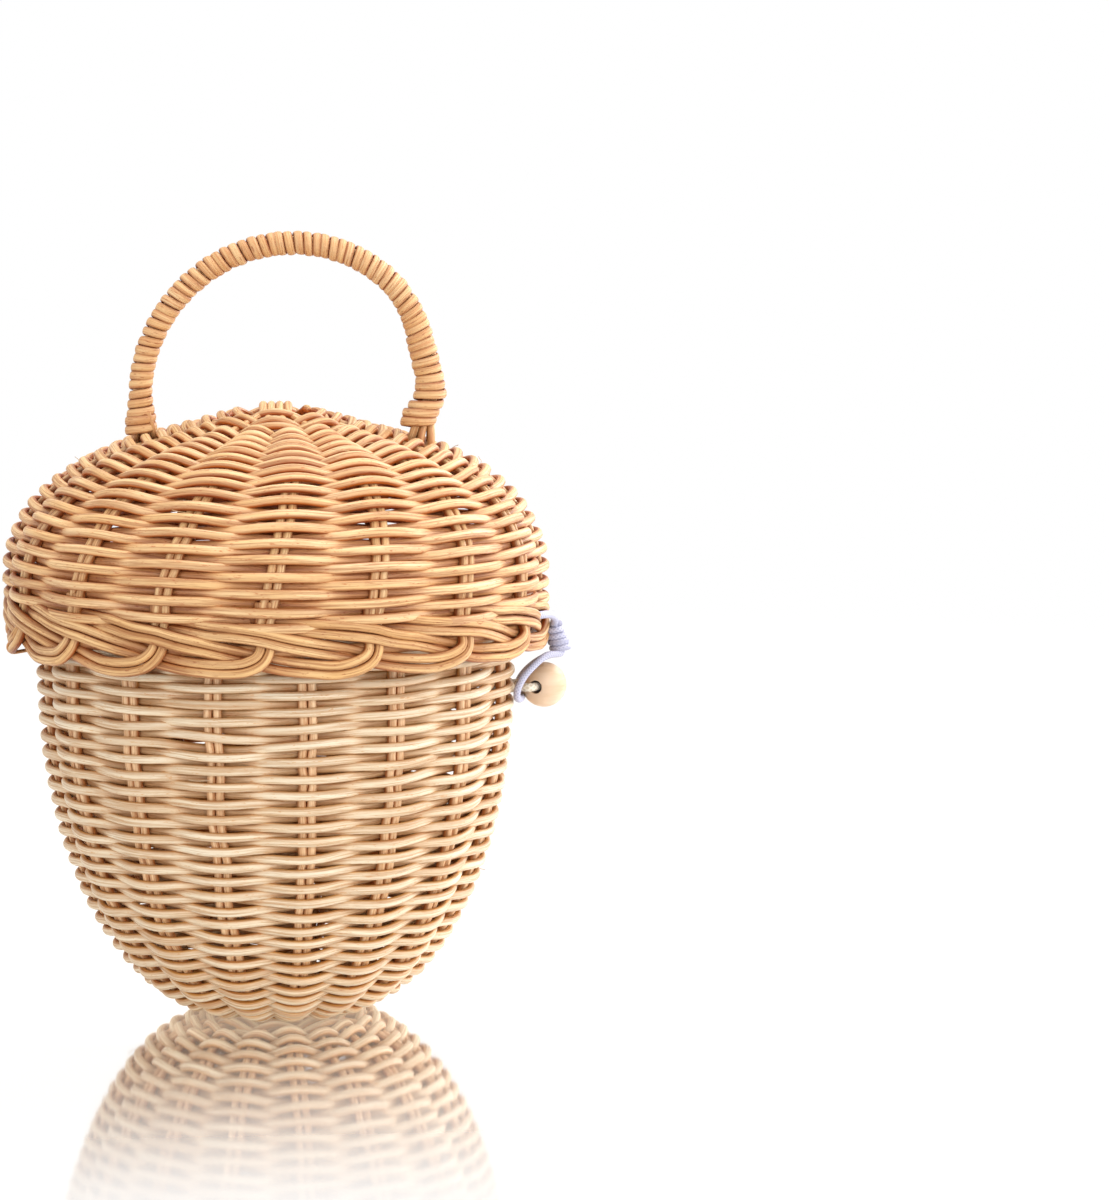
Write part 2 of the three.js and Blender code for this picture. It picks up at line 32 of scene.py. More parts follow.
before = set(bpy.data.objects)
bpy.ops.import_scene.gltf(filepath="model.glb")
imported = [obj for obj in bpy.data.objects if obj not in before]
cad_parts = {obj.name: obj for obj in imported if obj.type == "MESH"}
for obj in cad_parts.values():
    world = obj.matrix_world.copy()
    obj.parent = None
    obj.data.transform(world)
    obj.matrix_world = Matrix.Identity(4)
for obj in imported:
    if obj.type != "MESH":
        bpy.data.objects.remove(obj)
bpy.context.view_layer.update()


def add_object(name, data):
    """A new object of a mesh, a lamp or the camera, put in the scene."""
    made = bpy.data.objects.new(name, data)
    bpy.context.scene.collection.objects.link(made)
    return made


# ---------------------------------------------------------------- camera
# It stands before the basket, a little above its middle. AIM_PIXEL is where the point AIM_AT comes in the frame.
FRAME_WIDTH, FRAME_HEIGHT = 1109, 1200
CAMERA_AT = Vector((0.0, -1.39, 0.328))
AIM_AT = Vector((0.0, 0.0, 0.145))
AIM_PIXEL = (275.2, 620.0)
LENS, SENSOR = 113.9, 36
camera_data = bpy.data.cameras.new("camera")
camera_data.lens = LENS
camera_data.sensor_width = SENSOR
camera_data.clip_end = 50
camera = add_object("camera", camera_data)
bpy.context.scene.camera = camera
camera.location = CAMERA_AT
pixel = SENSOR / FRAME_HEIGHT / LENS
aim = AIM_AT - CAMERA_AT
yaw = math.atan((FRAME_WIDTH / 2 - AIM_PIXEL[0]) * pixel)
pitch = math.atan2(aim.z, math.hypot(aim.x, aim.y)) + math.atan((AIM_PIXEL[1] - FRAME_HEIGHT / 2) * pixel)
camera.rotation_euler = (math.pi / 2 + pitch, 0, -yaw)

# ---------------------------------------------------------------- sizes shared with the CAD model
# Angles of turn are about the upright axis; a lean is how far the stakes run round the wall on their way.
WALL = 9.0
MID = WALL / 2
STAKES = 16
STEP = TURN / STAKES

CUP_R, CUP_FOOT_R, CUP_SHOULDER_Z, CUP_WEAVE_Z, CUP_TOP_Z = 88.5, 22.4, 127.0, 145.6, 158.5
CUP_FULLNESS = 0.5
CUP_TURN = math.radians(-4.35)
CUP_LEAN = 0.0
LID_R, LID_START_Z, LID_TOP_Z, LID_WEAVE_Z, LID_RIM_Z = 100.4, 164.0, 219.5, 155.3, 136.0
LID_FULLNESS = 0.39
LID_TURN = 0.0
LID_LEAN = math.radians(-13.85)
CROSS_R = 9.96
SPREAD_R = 21.9

HANDLE_R, HANDLE_LEG, HANDLE_SHIFT, HANDLE_LEAN, HANDLE_INSET = 53.0, 17.3, 2.8, 4.2, 1.8
HANDLE_TURN = math.radians(-2.5)
HANDLE_TAIL = 5.0
WRAP_TURNS = 61

HINGE_X, HINGE_Z, TIE_Y = -95.4, 139.0, 17.3

BEAD_R, BEAD_REACH, BEAD_Z = 8.3, 98.1, 121.6
ELASTIC_R = 1.3

# ---------------------------------------------------------------- sizes of the rattan
SWING = 3.0  # how far a weaver's middle lies outside or inside the middle of the wall
ROW_PITCH, FIRST_ROW = 2.9, 1.5
CUP_WEAVER_TALL, LID_WEAVER_TALL, WEAVER_THICK = 1.7, 1.8, 1.42  # half sizes
STAKE_ROD_R, STAKE_ROD_FLAT = 1.6, 0.98
STAKE_APART = 1.65
EYE_SLOPE = math.radians(8)
CROSS_PITCH, CROSS_REACH, CROSS_LAYER = 3.0, 9.0, 1.55
CROWN_LIFT, CROWN_FLAT_R, CROWN_EDGE_R, CROWN_ARCH = 6.0, 4, 46, 2.6
LID_EXTRA_Z = 4.4
PAIRS_FROM_R, ONES_FROM_R = (15.5, 18), (25.5, 28.5)  # where bundles of four open to pairs, and pairs to ones


def smooth(x, low, high):
    """0 below low, 1 above high, and an even ease in between."""
    t = np.clip((np.asarray(x, float) - low) / (high - low), 0, 1)
    return t * t * (3 - 2 * t)


def unit(v):
    """Rows of vectors, each made one long."""
    return v / np.maximum(np.linalg.norm(v, axis=-1, keepdims=True), 1e-12)


class Wave:
    """Smooth seeded noise along one coordinate: a sum of a few sines, about -1 to 1."""

    def __init__(self, seed, period, parts=4):
        rng = np.random.default_rng(seed)
        self.rate = TURN / (period * rng.uniform(0.6, 2.2, parts))
        self.phase = rng.uniform(0, TURN, parts)
        self.share = rng.uniform(0.5, 1, parts)
        self.share /= np.sqrt((self.share ** 2).sum() / 2) * 1.6

    def __call__(self, x):
        x = np.asarray(x, float)
        return (self.share * np.sin(x[..., None] * self.rate + self.phase)).sum(-1)


def way_along(points):
    """The way from the first point to each point of a line."""
    return np.concatenate([[0], np.cumsum(np.linalg.norm(np.diff(points, axis=0), axis=1))])


def resample(points, step):
    """The same line in points at an even step."""
    way = way_along(points)
    at = np.linspace(0, way[-1], max(2, int(round(way[-1] / step)) + 1))
    return np.stack([np.interp(at, way, points[:, k]) for k in range(points.shape[1])], 1)


def curve_through(points, step=0.6, span_samples=24):
    """A centripetal Catmull-Rom curve through points, resampled at an even step."""
    p = np.asarray(points, float)
    p = np.vstack([2 * p[0] - p[1], p, 2 * p[-1] - p[-2]])
    dense = []
    for i in range(len(p) - 3):
        a, b, c, d = p[i:i + 4]
        ta, tb = 0.0, max(np.linalg.norm(b - a), 1e-6) ** 0.5
        tc = tb + max(np.linalg.norm(c - b), 1e-6) ** 0.5
        td = tc + max(np.linalg.norm(d - c), 1e-6) ** 0.5
        t = np.linspace(tb, tc, span_samples, endpoint=False)[:, None]
        ab = (tb - t) / (tb - ta) * a + (t - ta) / (tb - ta) * b
        bc = (tc - t) / (tc - tb) * b + (t - tb) / (tc - tb) * c
        cd = (td - t) / (td - tc) * c + (t - tc) / (td - tc) * d
        abc = (tc - t) / (tc - ta) * ab + (t - ta) / (tc - ta) * bc
        bcd = (td - t) / (td - tb) * bc + (t - tb) / (td - tb) * cd
        dense.append((tc - t) / (tc - tb) * abc + (t - tb) / (tc - tb) * bcd)
    dense.append(p[-2][None])
    return resample(np.vstack(dense), step)


# ---------------------------------------------------------------- strands
# How the painted shade passes from a strand's outer face to its inner face and its sides, and the bevel at cut ends.
OUTER_FACE_EASE, SIDE_FACE_POWER, BEVEL_SHARE = 0.75, 4, 0.22


class Strand:
    """One rod or cord: a centre line, its outward side, half sizes across and out, and how deep it lies.
    The shades are painted shade, for how dark the weave round it makes it: on its outer face, on its inner face and at
    its sides."""

    def __init__(self, centre, out, half_across, half_out, seed=0, shade_out=0.0, shade_in=0.0,
                 shade_side=0.0, closed=False, flat=0.0, across=None):
        self.centre = np.asarray(centre, float)
        count = len(self.centre)
        ahead = np.roll(self.centre, -1, 0) - np.roll(self.centre, 1, 0)
        if not closed:
            ahead[0] = self.centre[1] - self.centre[0]
            ahead[-1] = self.centre[-1] - self.centre[-2]
        self.tangent = unit(ahead)
        out = np.broadcast_to(np.asarray(out, float), (count, 3))
        self.across = unit(np.cross(out, self.tangent)) if across is None else unit(across)
        self.out = unit(np.cross(self.tangent, self.across))
        self.closed = closed
        self.flat = flat
        self.seed = seed
        columns = (half_across, half_out, shade_out, shade_in, shade_side)
        self.along = np.stack([np.broadcast_to(np.asarray(c, float), (count,)) for c in columns], 1)


def carried_side(centre, start=(0.31, 0.22, 0.93)):
    """A side carried along a free curve without twisting."""
    tangent = unit(np.gradient(np.asarray(centre, float), axis=0))
    out = np.zeros_like(tangent)
    side = np.asarray(start, float)
    for i, t in enumerate(tangent):
        side = side - t * (side @ t)
        side = side / max(np.linalg.norm(side), 1e-9)
        out[i] = side
    return out


def smooth_piece(name, verts, faces, **point_values):
    """A smooth mesh in metres, whose points carry named values for the materials."""
    mesh = bpy.data.meshes.new(name)
    mesh.from_pydata(verts, [], faces)
    mesh.validate()
    for label, values in point_values.items():
        mesh.attributes.new(label, "FLOAT", "POINT").data.foreach_set("value", np.asarray(values, np.float32))
    mesh.shade_smooth()
    return add_object(name, mesh)


def strand_mesh(name, strands, sides=12, end_share=0.75):
    """One mesh of several strands. Its attributes: the way along and round each strand, a tone of
    its own for each strand, the share of a turn round it, and the painted shade at each point (the attribute depth),
    from how deep it lies and which way it faces."""
    angle = np.arange(sides) / sides * TURN
    cos, sin = np.cos(angle), np.sin(angle)
    outer_face = np.clip(0.5 + OUTER_FACE_EASE * sin, 0, 1)
    side_face = np.abs(cos) ** SIDE_FACE_POWER
    verts, faces, grain, tone, around, depth = [], [], [], [], [], []
    base = 0
    for strand in strands:
        rng = np.random.default_rng(strand.seed + 1000)
        c, a, o, along = strand.centre, strand.across, strand.out, strand.along
        way = way_along(c)
        if not strand.closed:
            bevel = BEVEL_SHARE * along[[0, -1], :2].min()
            c = np.vstack([c[0] - strand.tangent[0] * bevel, c, c[-1] + strand.tangent[-1] * bevel])
            a, o = np.vstack([a[:1], a, a[-1:]]), np.vstack([o[:1], o, o[-1:]])
            along = np.vstack([along[:1], along, along[-1:]])
            along[[0, -1], :2] *= end_share
            way = np.r_[-bevel, way, way[-1] + bevel]
        count = len(c)
        square = 1 + strand.flat * (np.sqrt(1 / np.maximum(np.abs(cos), np.abs(sin))) - 1)
        half_across, half_out, shade_out, shade_in, shade_side = (along[:, k, None] for k in range(5))
        ring = c[:, None] + a[:, None] * (half_across * cos * square)[..., None]
        ring = ring + o[:, None] * (half_out * sin * square)[..., None]
        verts.append(ring.reshape(-1, 3))
        start, own = rng.uniform(0, 900), rng.uniform(-50, 50)  # each strand's own place in the grain
        grain.append(np.stack([np.broadcast_to((way + start)[:, None], (count, sides)),
                               np.broadcast_to(cos + own, (count, sides)),
                               np.broadcast_to(sin, (count, sides))], -1).reshape(-1, 3))
        tone.append(np.full(count * sides, rng.uniform(0, 1)))
        around.append(np.tile(angle / TURN, count))
        # Painted shade: outer and inner faces blend by which way they face, and the sides add the shade of their
        # neighbours; it is kept in the attribute depth.
        shade = outer_face * shade_out + (1 - outer_face) * shade_in + side_face * shade_side
        depth.append(np.clip(shade, 0, 1).ravel())
        i = np.arange(count if strand.closed else count - 1)[:, None]
        j = (i + 1) % count
        k = np.arange(sides)
        n = (k + 1) % sides
        quads = np.stack([i * sides + k, i * sides + n, j * sides + n, j * sides + k], -1) + base
        faces.extend(quads.reshape(-1, 4).tolist())
        if not strand.closed:
            faces.append(list(range(base + sides - 1, base - 1, -1)))
            faces.append(list(range(base + (count - 1) * sides, base + count * sides)))
        base += count * sides
    piece = smooth_piece(name, (np.vstack(verts) * MM).tolist(), faces, tone=np.concatenate(tone),
                         around=np.concatenate(around), depth=np.concatenate(depth))
    layer = piece.data.attributes.new("grain", "FLOAT_VECTOR", "POINT")
    layer.data.foreach_set("vector", np.vstack(grain).astype(np.float32).ravel())
    return piece


def fit(piece, body, slot, material, *replaced):
    """Give a piece its material and its body, and hide the CAD nodes that it stands for."""
    piece.data.materials.append(material)
    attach(piece, body)
    if replaced:
        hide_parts(*replaced)
    return piece


# ---------------------------------------------------------------- shader nodes
def node(tree, kind, **values):
    """A new node, whose properties or inputs are set by name."""
    made = tree.nodes.new(kind)
    for key, value in values.items():
        if hasattr(made, key):
            setattr(made, key, value)
        else:
            made.inputs[key.replace("_", " ")].default_value = value
    return made


def feed(tree, socket, value):
    """Link an output to a socket, or set the socket to a plain value."""
    if isinstance(value, bpy.types.NodeSocket):
        tree.links.new(value, socket)
    else:
        socket.default_value = value


def attribute(tree, name):
    """A value that the mesh carries at its points."""
    return node(tree, "ShaderNodeAttribute", attribute_name=name, attribute_type="GEOMETRY")


def maths(tree, operation, *values, clamp=False):
    """One step of arithmetic on outputs or plain values."""
    made = node(tree, "ShaderNodeMath", operation=operation, use_clamp=clamp)
    for socket, value in zip(made.inputs, values):
        feed(tree, socket, value)
    return made.outputs[0]


def spread(tree, value, low, high, to_low=0.0, to_high=1.0):
    """An even ease from to_low to to_high while the value runs from low to high."""
    made = node(tree, "ShaderNodeMapRange", interpolation_type="SMOOTHSTEP", From_Min=low, From_Max=high,
                To_Min=to_low, To_Max=to_high)
    feed(tree, made.inputs["Value"], value)
    return made.outputs[0]


def blend_colours(tree, share, first, second, way="MIX"):
    """The second colour laid over the first, or multiplied with it, by a share from 0 to 1."""
    made = node(tree, "ShaderNodeMix", data_type="RGBA", blend_type=way)
    factor, colour_a, colour_b, colour_out = made.inputs[0], made.inputs[6], made.inputs[7], made.outputs[2]
    for socket, value in ((factor, share), (colour_a, first), (colour_b, second)):
        feed(tree, socket, value)
    return colour_out


def stretched_noise(tree, vector, scale, detail, rough=0.5):
    """Noise with a scale of its own along each axis of its vector."""
    stretch = node(tree, "ShaderNodeVectorMath", operation="MULTIPLY")
    feed(tree, stretch.inputs[0], vector)
    stretch.inputs[1].default_value = scale
    made = node(tree, "ShaderNodeTexNoise", Scale=1.0, Detail=detail, Roughness=rough)
    feed(tree, made.inputs["Vector"], stretch.outputs[0])
    return made.outputs[0]


def relief(tree, height, strength, distance):
    """The normal of a surface raised by a height, whose full distance is in metres."""
    made = node(tree, "ShaderNodeBump", Distance=distance)
    feed(tree, made.inputs["Height"], height)
    feed(tree, made.inputs["Strength"], strength)
    return made.outputs[0]


def new_group(name, colours, numbers, outputs):
    """An empty node group with named inputs and outputs, and its two end nodes."""
    tree = bpy.data.node_groups.new(name, "ShaderNodeTree")
    for label in colours:
        tree.interface.new_socket(label, in_out="INPUT", socket_type="NodeSocketColor")
    for label in numbers:
        tree.interface.new_socket(label, in_out="INPUT", socket_type="NodeSocketFloat")
    for label, kind in outputs:
        tree.interface.new_socket(label, in_out="OUTPUT", socket_type=kind)
    return tree, tree.nodes.new("NodeGroupInput"), tree.nodes.new("NodeGroupOutput")


def srgb(r, g, b):
    """A colour as it looks on a screen, 0 to 255, as the linear colour that a shader takes."""
    return tuple(((v / 255) / 12.92 if v <= 10 else ((v / 255 + 0.055) / 1.055) ** 2.4) for v in (r, g, b)) + (1,)


# ---------------------------------------------------------------- materials
def rattan_grain():
    """Round rattan: fine fibres along the strand, slow blotches, dark pores, a tone of its own for
    every strand, and a painted red-brown shade where a strand lies deep in the weave."""
    tree, given, result = new_group(
        "rattan_grain", ("Light", "Body", "Dark", "Shade"), ("Blotches", "Pores", "Relief"),
        (("Color", "NodeSocketColor"), ("Roughness", "NodeSocketFloat"), ("Normal", "NodeSocketVector")))
    grain = attribute(tree, "grain").outputs["Vector"]
    # The scales of the noise: along the strand in millimetres, then across and out in half widths.
    fibres = stretched_noise(tree, grain, (0.03, 2.1, 2.1), 4.0, 0.75)
    streaks = stretched_noise(tree, grain, (0.012, 1.2, 1.2), 2.0)
    blotches = stretched_noise(tree, grain, (0.045, 0.35, 0.35), 2.0)
    lengths = stretched_noise(tree, grain, (0.0042, 0.01, 0.01), 1.0)
    pores = stretched_noise(tree, grain, (0.32, 2.6, 2.6), 2.0, 0.7)
    own = maths(tree, "MULTIPLY", attribute(tree, "tone").outputs["Fac"], 0.25)
    drift = maths(tree, "MULTIPLY", spread(tree, lengths, 0.32, 0.68), 0.45)
    patch = maths(tree, "MULTIPLY", spread(tree, blotches, 0.3, 0.7), given.outputs["Blotches"])
    patch = maths(tree, "ADD", maths(tree, "ADD", patch, own), drift, clamp=True)
    colour = blend_colours(tree, patch, given.outputs["Light"], given.outputs["Body"])
    colour = blend_colours(tree, maths(tree, "MULTIPLY", spread(tree, streaks, 0.4, 0.68), 0.5), colour,
                           given.outputs["Dark"])
    colour = blend_colours(tree, maths(tree, "MULTIPLY", spread(tree, fibres, 0.46, 0.6), 0.75), colour,
                           given.outputs["Dark"])
    # Pores are real dark dashes, multiplied by the same Shade colour.
    dots = maths(tree, "MULTIPLY", spread(tree, pores, 0.61, 0.7), given.outputs["Pores"])
    colour = blend_colours(tree, dots, colour, given.outputs["Shade"], "MULTIPLY")
    # Painted shade: the colour is multiplied by Shade as far as the depth value says, where a strand lies deep in the
    # weave or at its hidden sides.
    colour = blend_colours(tree, attribute(tree, "depth").outputs["Fac"], colour, given.outputs["Shade"],
                           "MULTIPLY")
    feed(tree, result.inputs["Color"], colour)
    feed(tree, result.inputs["Roughness"], spread(tree, fibres, 0.3, 0.7, 0.42, 0.62))
    height = maths(tree, "ADD", maths(tree, "MULTIPLY", fibres, 0.6), maths(tree, "MULTIPLY", streaks, 0.8))
    feed(tree, result.inputs["Normal"], relief(tree, height, given.outputs["Relief"], 0.0003))
    return tree


def braided_yarn():
    """A braided cord: two crossing sets of fine diagonal yarns, with painted shade in the grooves between them and
    where the depth value is high.
    """
    tree, given, result = new_group(
        "braided_yarn", ("Light", "Shade"), ("Yarns", "Relief"),
        (("Color", "NodeSocketColor"), ("Normal", "NodeSocketVector")))
    split = node(tree, "ShaderNodeSeparateXYZ")
    feed(tree, split.inputs[0], attribute(tree, "grain").outputs["Vector"])
    spin = maths(tree, "MULTIPLY", attribute(tree, "around").outputs["Fac"], 5 * TURN)
    along = maths(tree, "MULTIPLY", split.outputs[0], given.outputs["Yarns"])
    left = maths(tree, "SINE", maths(tree, "ADD", spin, along))
    right = maths(tree, "SINE", maths(tree, "SUBTRACT", spin, along))
    height = spread(tree, maths(tree, "MAXIMUM", left, right), -0.6, 1.0)
    # Painted shade: the Shade colour fills the grooves between yarns and the places that the depth value darkens.
    deep = maths(tree, "SUBTRACT", height, attribute(tree, "depth").outputs["Fac"], clamp=True)
    feed(tree, result.inputs["Color"], blend_colours(tree, deep, given.outputs["Shade"], given.outputs["Light"]))
    feed(tree, result.inputs["Normal"], relief(tree, height, given.outputs["Relief"], 0.0002))
    return tree


def blank_material(name):
    """A new material, with its nodes and its Principled shader."""
    material = bpy.data.materials.new(name)
    material.use_nodes = True
    return material, material.node_tree, material.node_tree.nodes["Principled BSDF"]


def grouped_material(name, group, specular, roughness=None, **inputs):
    """A material that takes its colour, its normal and, where the group gives one, its roughness from a group."""
    material, tree, shader = blank_material(name)
    placed = node(tree, "ShaderNodeGroup", node_tree=group)
    for key, value in inputs.items():
        placed.inputs[key].default_value = value
    for output, socket in (("Color", "Base Color"), ("Roughness", "Roughness"), ("Normal", "Normal")):
        if output in placed.outputs:
            tree.links.new(placed.outputs[output], shader.inputs[socket])
    if roughness is not None:
        shader.inputs["Roughness"].default_value = roughness
    shader.inputs["Specular IOR Level"].default_value = specular
    return material


def turned_wood(name):
    """Pale turned wood: fine grain across the bead, broad warm patches, and painted shade inside the bore."""
    material, tree, shader = blank_material(name)
    where = node(tree, "ShaderNodeTexCoord").outputs["Object"]
    grain = stretched_noise(tree, where, (90, 90, 620), 4.0, 0.6)
    broad = stretched_noise(tree, where, (55, 55, 55), 2.0)
    colour = blend_colours(tree, spread(tree, grain, 0.3, 0.72), srgb(214, 184, 150), srgb(192, 152, 112))
    colour = blend_colours(tree, spread(tree, broad, 0.3, 0.75), colour, srgb(212, 184, 156))
    # Painted shade in the bore and at its mouths, as far as the depth value says.
    colour = blend_colours(tree, attribute(tree, "depth").outputs["Fac"], colour, srgb(96, 52, 30))
    feed(tree, shader.inputs["Base Color"], colour)
    feed(tree, shader.inputs["Normal"], relief(tree, grain, 0.25, 0.0002))
    shader.inputs["Roughness"].default_value = 0.42
    return material


RATTAN = rattan_grain()
YARN = braided_yarn()


def rattan_finish(name, specular, light, body, dark, shade, blotches, pores, relief_strength=1.0):
    """One finish of rattan: its four colours, and how strong its blotches, pores and fibres are."""
    return grouped_material(name, RATTAN, specular, Light=srgb(*light), Body=srgb(*body), Dark=srgb(*dark),
                            Shade=srgb(*shade), Blotches=blotches, Pores=pores, Relief=relief_strength)


WALL_GLOSS, BRAID_GLOSS, CANE_GLOSS = 0.65, 0.4, 0.3
CREAM = rattan_finish("cream_rattan", WALL_GLOSS, (217, 205, 181), (211, 190, 158), (172, 132, 90),
                      (236, 183, 106), 0.5, 0.6)
CREAM_STAKE = rattan_finish("cream_stake", WALL_GLOSS, (240, 210, 168), (230, 192, 146), (186, 134, 84),
                            (214, 154, 84), 0.5, 0.5)
HONEY = rattan_finish("honey_rattan", WALL_GLOSS, (225, 194, 148), (214, 174, 117), (156, 102, 54),
                      (215, 135, 38), 0.55, 0.7)
HONEY_STAKE = rattan_finish("honey_stake", WALL_GLOSS, (234, 201, 148), (222, 180, 120), (176, 118, 68),
                            (204, 134, 58), 0.5, 0.6)
BORDER = rattan_finish("border_rattan", BRAID_GLOSS, (222, 188, 138), (209, 166, 109), (150, 96, 52),
                       (188, 118, 50), 0.55, 0.7)
BINDING = rattan_finish("binding_cane", BRAID_GLOSS, (220, 190, 144), (209, 168, 115), (180, 122, 76),
                        (176, 102, 46), 0.6, 0.7)
HINGE_CANE = rattan_finish("hinge_cane", CANE_GLOSS, (236, 196, 142), (220, 170, 112), (190, 132, 80),
                           (160, 96, 54), 0.5, 0.5, 0.6)
ELASTIC = grouped_material("white_elastic", YARN, 0.3, 0.75, Light=srgb(186, 186, 204), Shade=srgb(156, 156, 180),
                           Yarns=5.5, Relief=0.4)
CORD = grouped_material("cream_cord", YARN, 0.3, 0.8, Light=srgb(230, 220, 203), Shade=srgb(208, 192, 168),
                        Yarns=4.0, Relief=0.8)
BEAD = turned_wood("bead_wood")


# ---------------------------------------------------------------- the two shells
CURVE_ROWS, FOOT_ROWS, CUP_BAND_ROWS, LID_BAND_ROWS = 260, 30, 24, 12
CLOSE_SHARE, CLOSE_MOST, SLOPE_MOST = 0.6, 1.1, 0.8


class Shell:
    """The middle of a woven wall of revolution, from the rows of radius and height of its outside."""

    def __init__(self, r, z, inward_sign, extra=0.0):
        r, z = np.asarray(r, float), np.asarray(z, float)
        tangent = unit(np.stack([np.gradient(r), np.gradient(z)], 1))
        inward = np.stack([-tangent[:, 1], tangent[:, 0]], 1) * inward_sign
        self.r, self.z = r + MID * inward[:, 0], z + MID * inward[:, 1]
        self.way = way_along(np.stack([self.r, self.z], 1))
        self.out = -inward
        self.length = self.way[-1]
        outer_way = way_along(np.stack([r, z], 1))
        self.outer_share = outer_way / (outer_way[-1] - extra)
        self.up_sign = inward_sign

    def radius(self, way):
        return np.interp(way, self.way, self.r)

    def height(self, way):
        return np.interp(way, self.way, self.z)

    def share(self, way):
        return np.interp(way, self.way, self.outer_share)

    def behind(self, way):
        """How far along the wall the inner passes sit off their row, so that they close it from eye level."""
        slope = np.arcsin(np.clip(np.interp(way, self.way, self.out[:, 1]), -1, 1))
        seen_off = 2 * SWING * np.tan(np.clip(EYE_SLOPE - slope, -SLOPE_MOST, SLOPE_MOST))
        return -self.up_sign * np.clip(CLOSE_SHARE * seen_off, -CLOSE_MOST, CLOSE_MOST)

    def at(self, way, phi, depth=0.0):
        """Point at a way up the wall and an angle, moved outward by depth, and the outward side there."""
        out = unit(np.stack([np.interp(way, self.way, self.out[:, k]) for k in (0, 1)], -1))
        r = self.radius(way) + depth * out[..., 0]
        z = self.height(way) + depth * out[..., 1]
        cos, sin = np.cos(phi), np.sin(phi)
        return np.stack([r * cos, r * sin, z], -1), np.stack([out[..., 0] * cos, out[..., 0] * sin, out[..., 1]], -1)


def cup_shell():
    """From the cross in the foot out to the bowl and up to its straight band."""
    t = np.linspace(0, math.pi / 2, CURVE_ROWS)
    bowl_r = CUP_FOOT_R + (CUP_R - CUP_FOOT_R) * np.sin(t) ** (2 * CUP_FULLNESS)
    bowl_z = CUP_SHOULDER_Z * (1 - np.cos(t))
    foot_r = np.linspace(CROSS_R, CUP_FOOT_R, FOOT_ROWS)[:-1]
    band_z = np.linspace(CUP_SHOULDER_Z, CUP_WEAVE_Z, CUP_BAND_ROWS)[1:]
    return Shell(np.r_[foot_r, bowl_r, np.full(len(band_z), CUP_R)],
                 np.r_[np.zeros(len(foot_r)), bowl_z, band_z], 1)


def dome_height(r):
    """The height of the CAD model's dome at a radius."""
    share = np.minimum(1, np.asarray(r, float) / LID_R) ** (1 / LID_FULLNESS)
    return LID_START_Z + (LID_TOP_Z - LID_START_Z) * np.sqrt(1 - share)


def crown_lift(r):
    """How much the weave rises over the dome of the CAD model toward the crown."""
    return CROWN_LIFT * (1 - smooth(r, CROWN_FLAT_R, CROWN_EDGE_R))


def lid_shell():
    """From the cross in the crown down the dome and to its straight band."""
    top = math.asin((float(dome_height(CROSS_R)) - LID_START_Z) / (LID_TOP_Z - LID_START_Z))
    t = np.linspace(top, 0, CURVE_ROWS)
    dome_r = LID_R * np.cos(t) ** (2 * LID_FULLNESS)
    dome_z = LID_START_Z + (LID_TOP_Z - LID_START_Z) * np.sin(t) + crown_lift(dome_r)
    band_z = np.linspace(LID_START_Z, LID_WEAVE_Z - LID_EXTRA_Z, LID_BAND_ROWS)[1:]
    return Shell(np.r_[dome_r, np.full(len(band_z), LID_R)], np.r_[dome_z, band_z], -1, LID_EXTRA_Z)


CUP, LID = cup_shell(), lid_shell()


def stake_angle(shell, way, turned, lean):
    """How far the stakes are turned at a way up the wall."""
    return turned + lean * shell.share(way)


def over_under(phi, stake_phase, radius):
    """+1 where a weaver passes outside the stakes: round bundles of four at the cross, then pairs,
    then one stake at a time."""
    fours = np.cos(2 * (phi - stake_phase))
    pairs = np.cos(4 * (phi - stake_phase))
    ones = np.cos(8 * (phi - stake_phase - STEP / 2))
    to_pairs, to_ones = smooth(radius, *PAIRS_FROM_R), smooth(radius, *ONES_FROM_R)
    return (fours * (1 - to_pairs) + pairs * to_pairs) * (1 - to_ones) + ones * to_ones


FIBRE_R, FIBRE_LENGTH, FIBRE_SAG = 0.11, (4, 9), 1.6


def stray_fibres(shell, count, seed):
    """Short hairs that have split off the strands and stand out from the wall."""
    rng = np.random.default_rng(seed)
    hairs = []
    for k in range(count):
        way, phi = rng.uniform(0.25, 0.97) * shell.length, rng.uniform(0, TURN)
        length, sense = rng.uniform(*FIBRE_LENGTH), rng.choice((-1, 1))
        turn = sense * length / shell.radius(way)
        sag = rng.uniform(-FIBRE_SAG, FIBRE_SAG)
        tip_depth = 5.0 + rng.uniform(0.0, 0.9)
        # Shares of the turn and of the sag, and the depth, from the root to the tip.
        steps = ((0.0, 0.0, 3.6), (0.35, 0.1, 4.6), (0.7, 0.5, 4.9), (1.0, 1.0, tip_depth))
        points = [shell.at(way + sag * low, phi + turn * round_share, depth)[0] for round_share, low, depth in steps]
        line = curve_through(points, 0.8)
        hairs.append(Strand(line, carried_side(line), FIBRE_R, FIBRE_R, seed + k))
    return hairs


WEAVER_SAMPLES = 208  # points in a turn
CALM_R = (20, 36)  # inside the first radius a weaver doesn't wander, and from the second on it does in full
TUCKED, PROUD = -2.6, 1.3  # depths at which a weaver is right behind the stakes, or clear in front of them
WEAVER_STRAY, SWING_SHARE, SWING_UNEVEN, WEAVER_UNEVEN = 0.2, 0.98, 0.035, 0.045
# DIP_SHADE below is painted shade.
DIP_SHADE = 0.62  # how dark the outer face of a strand is where it dips behind others


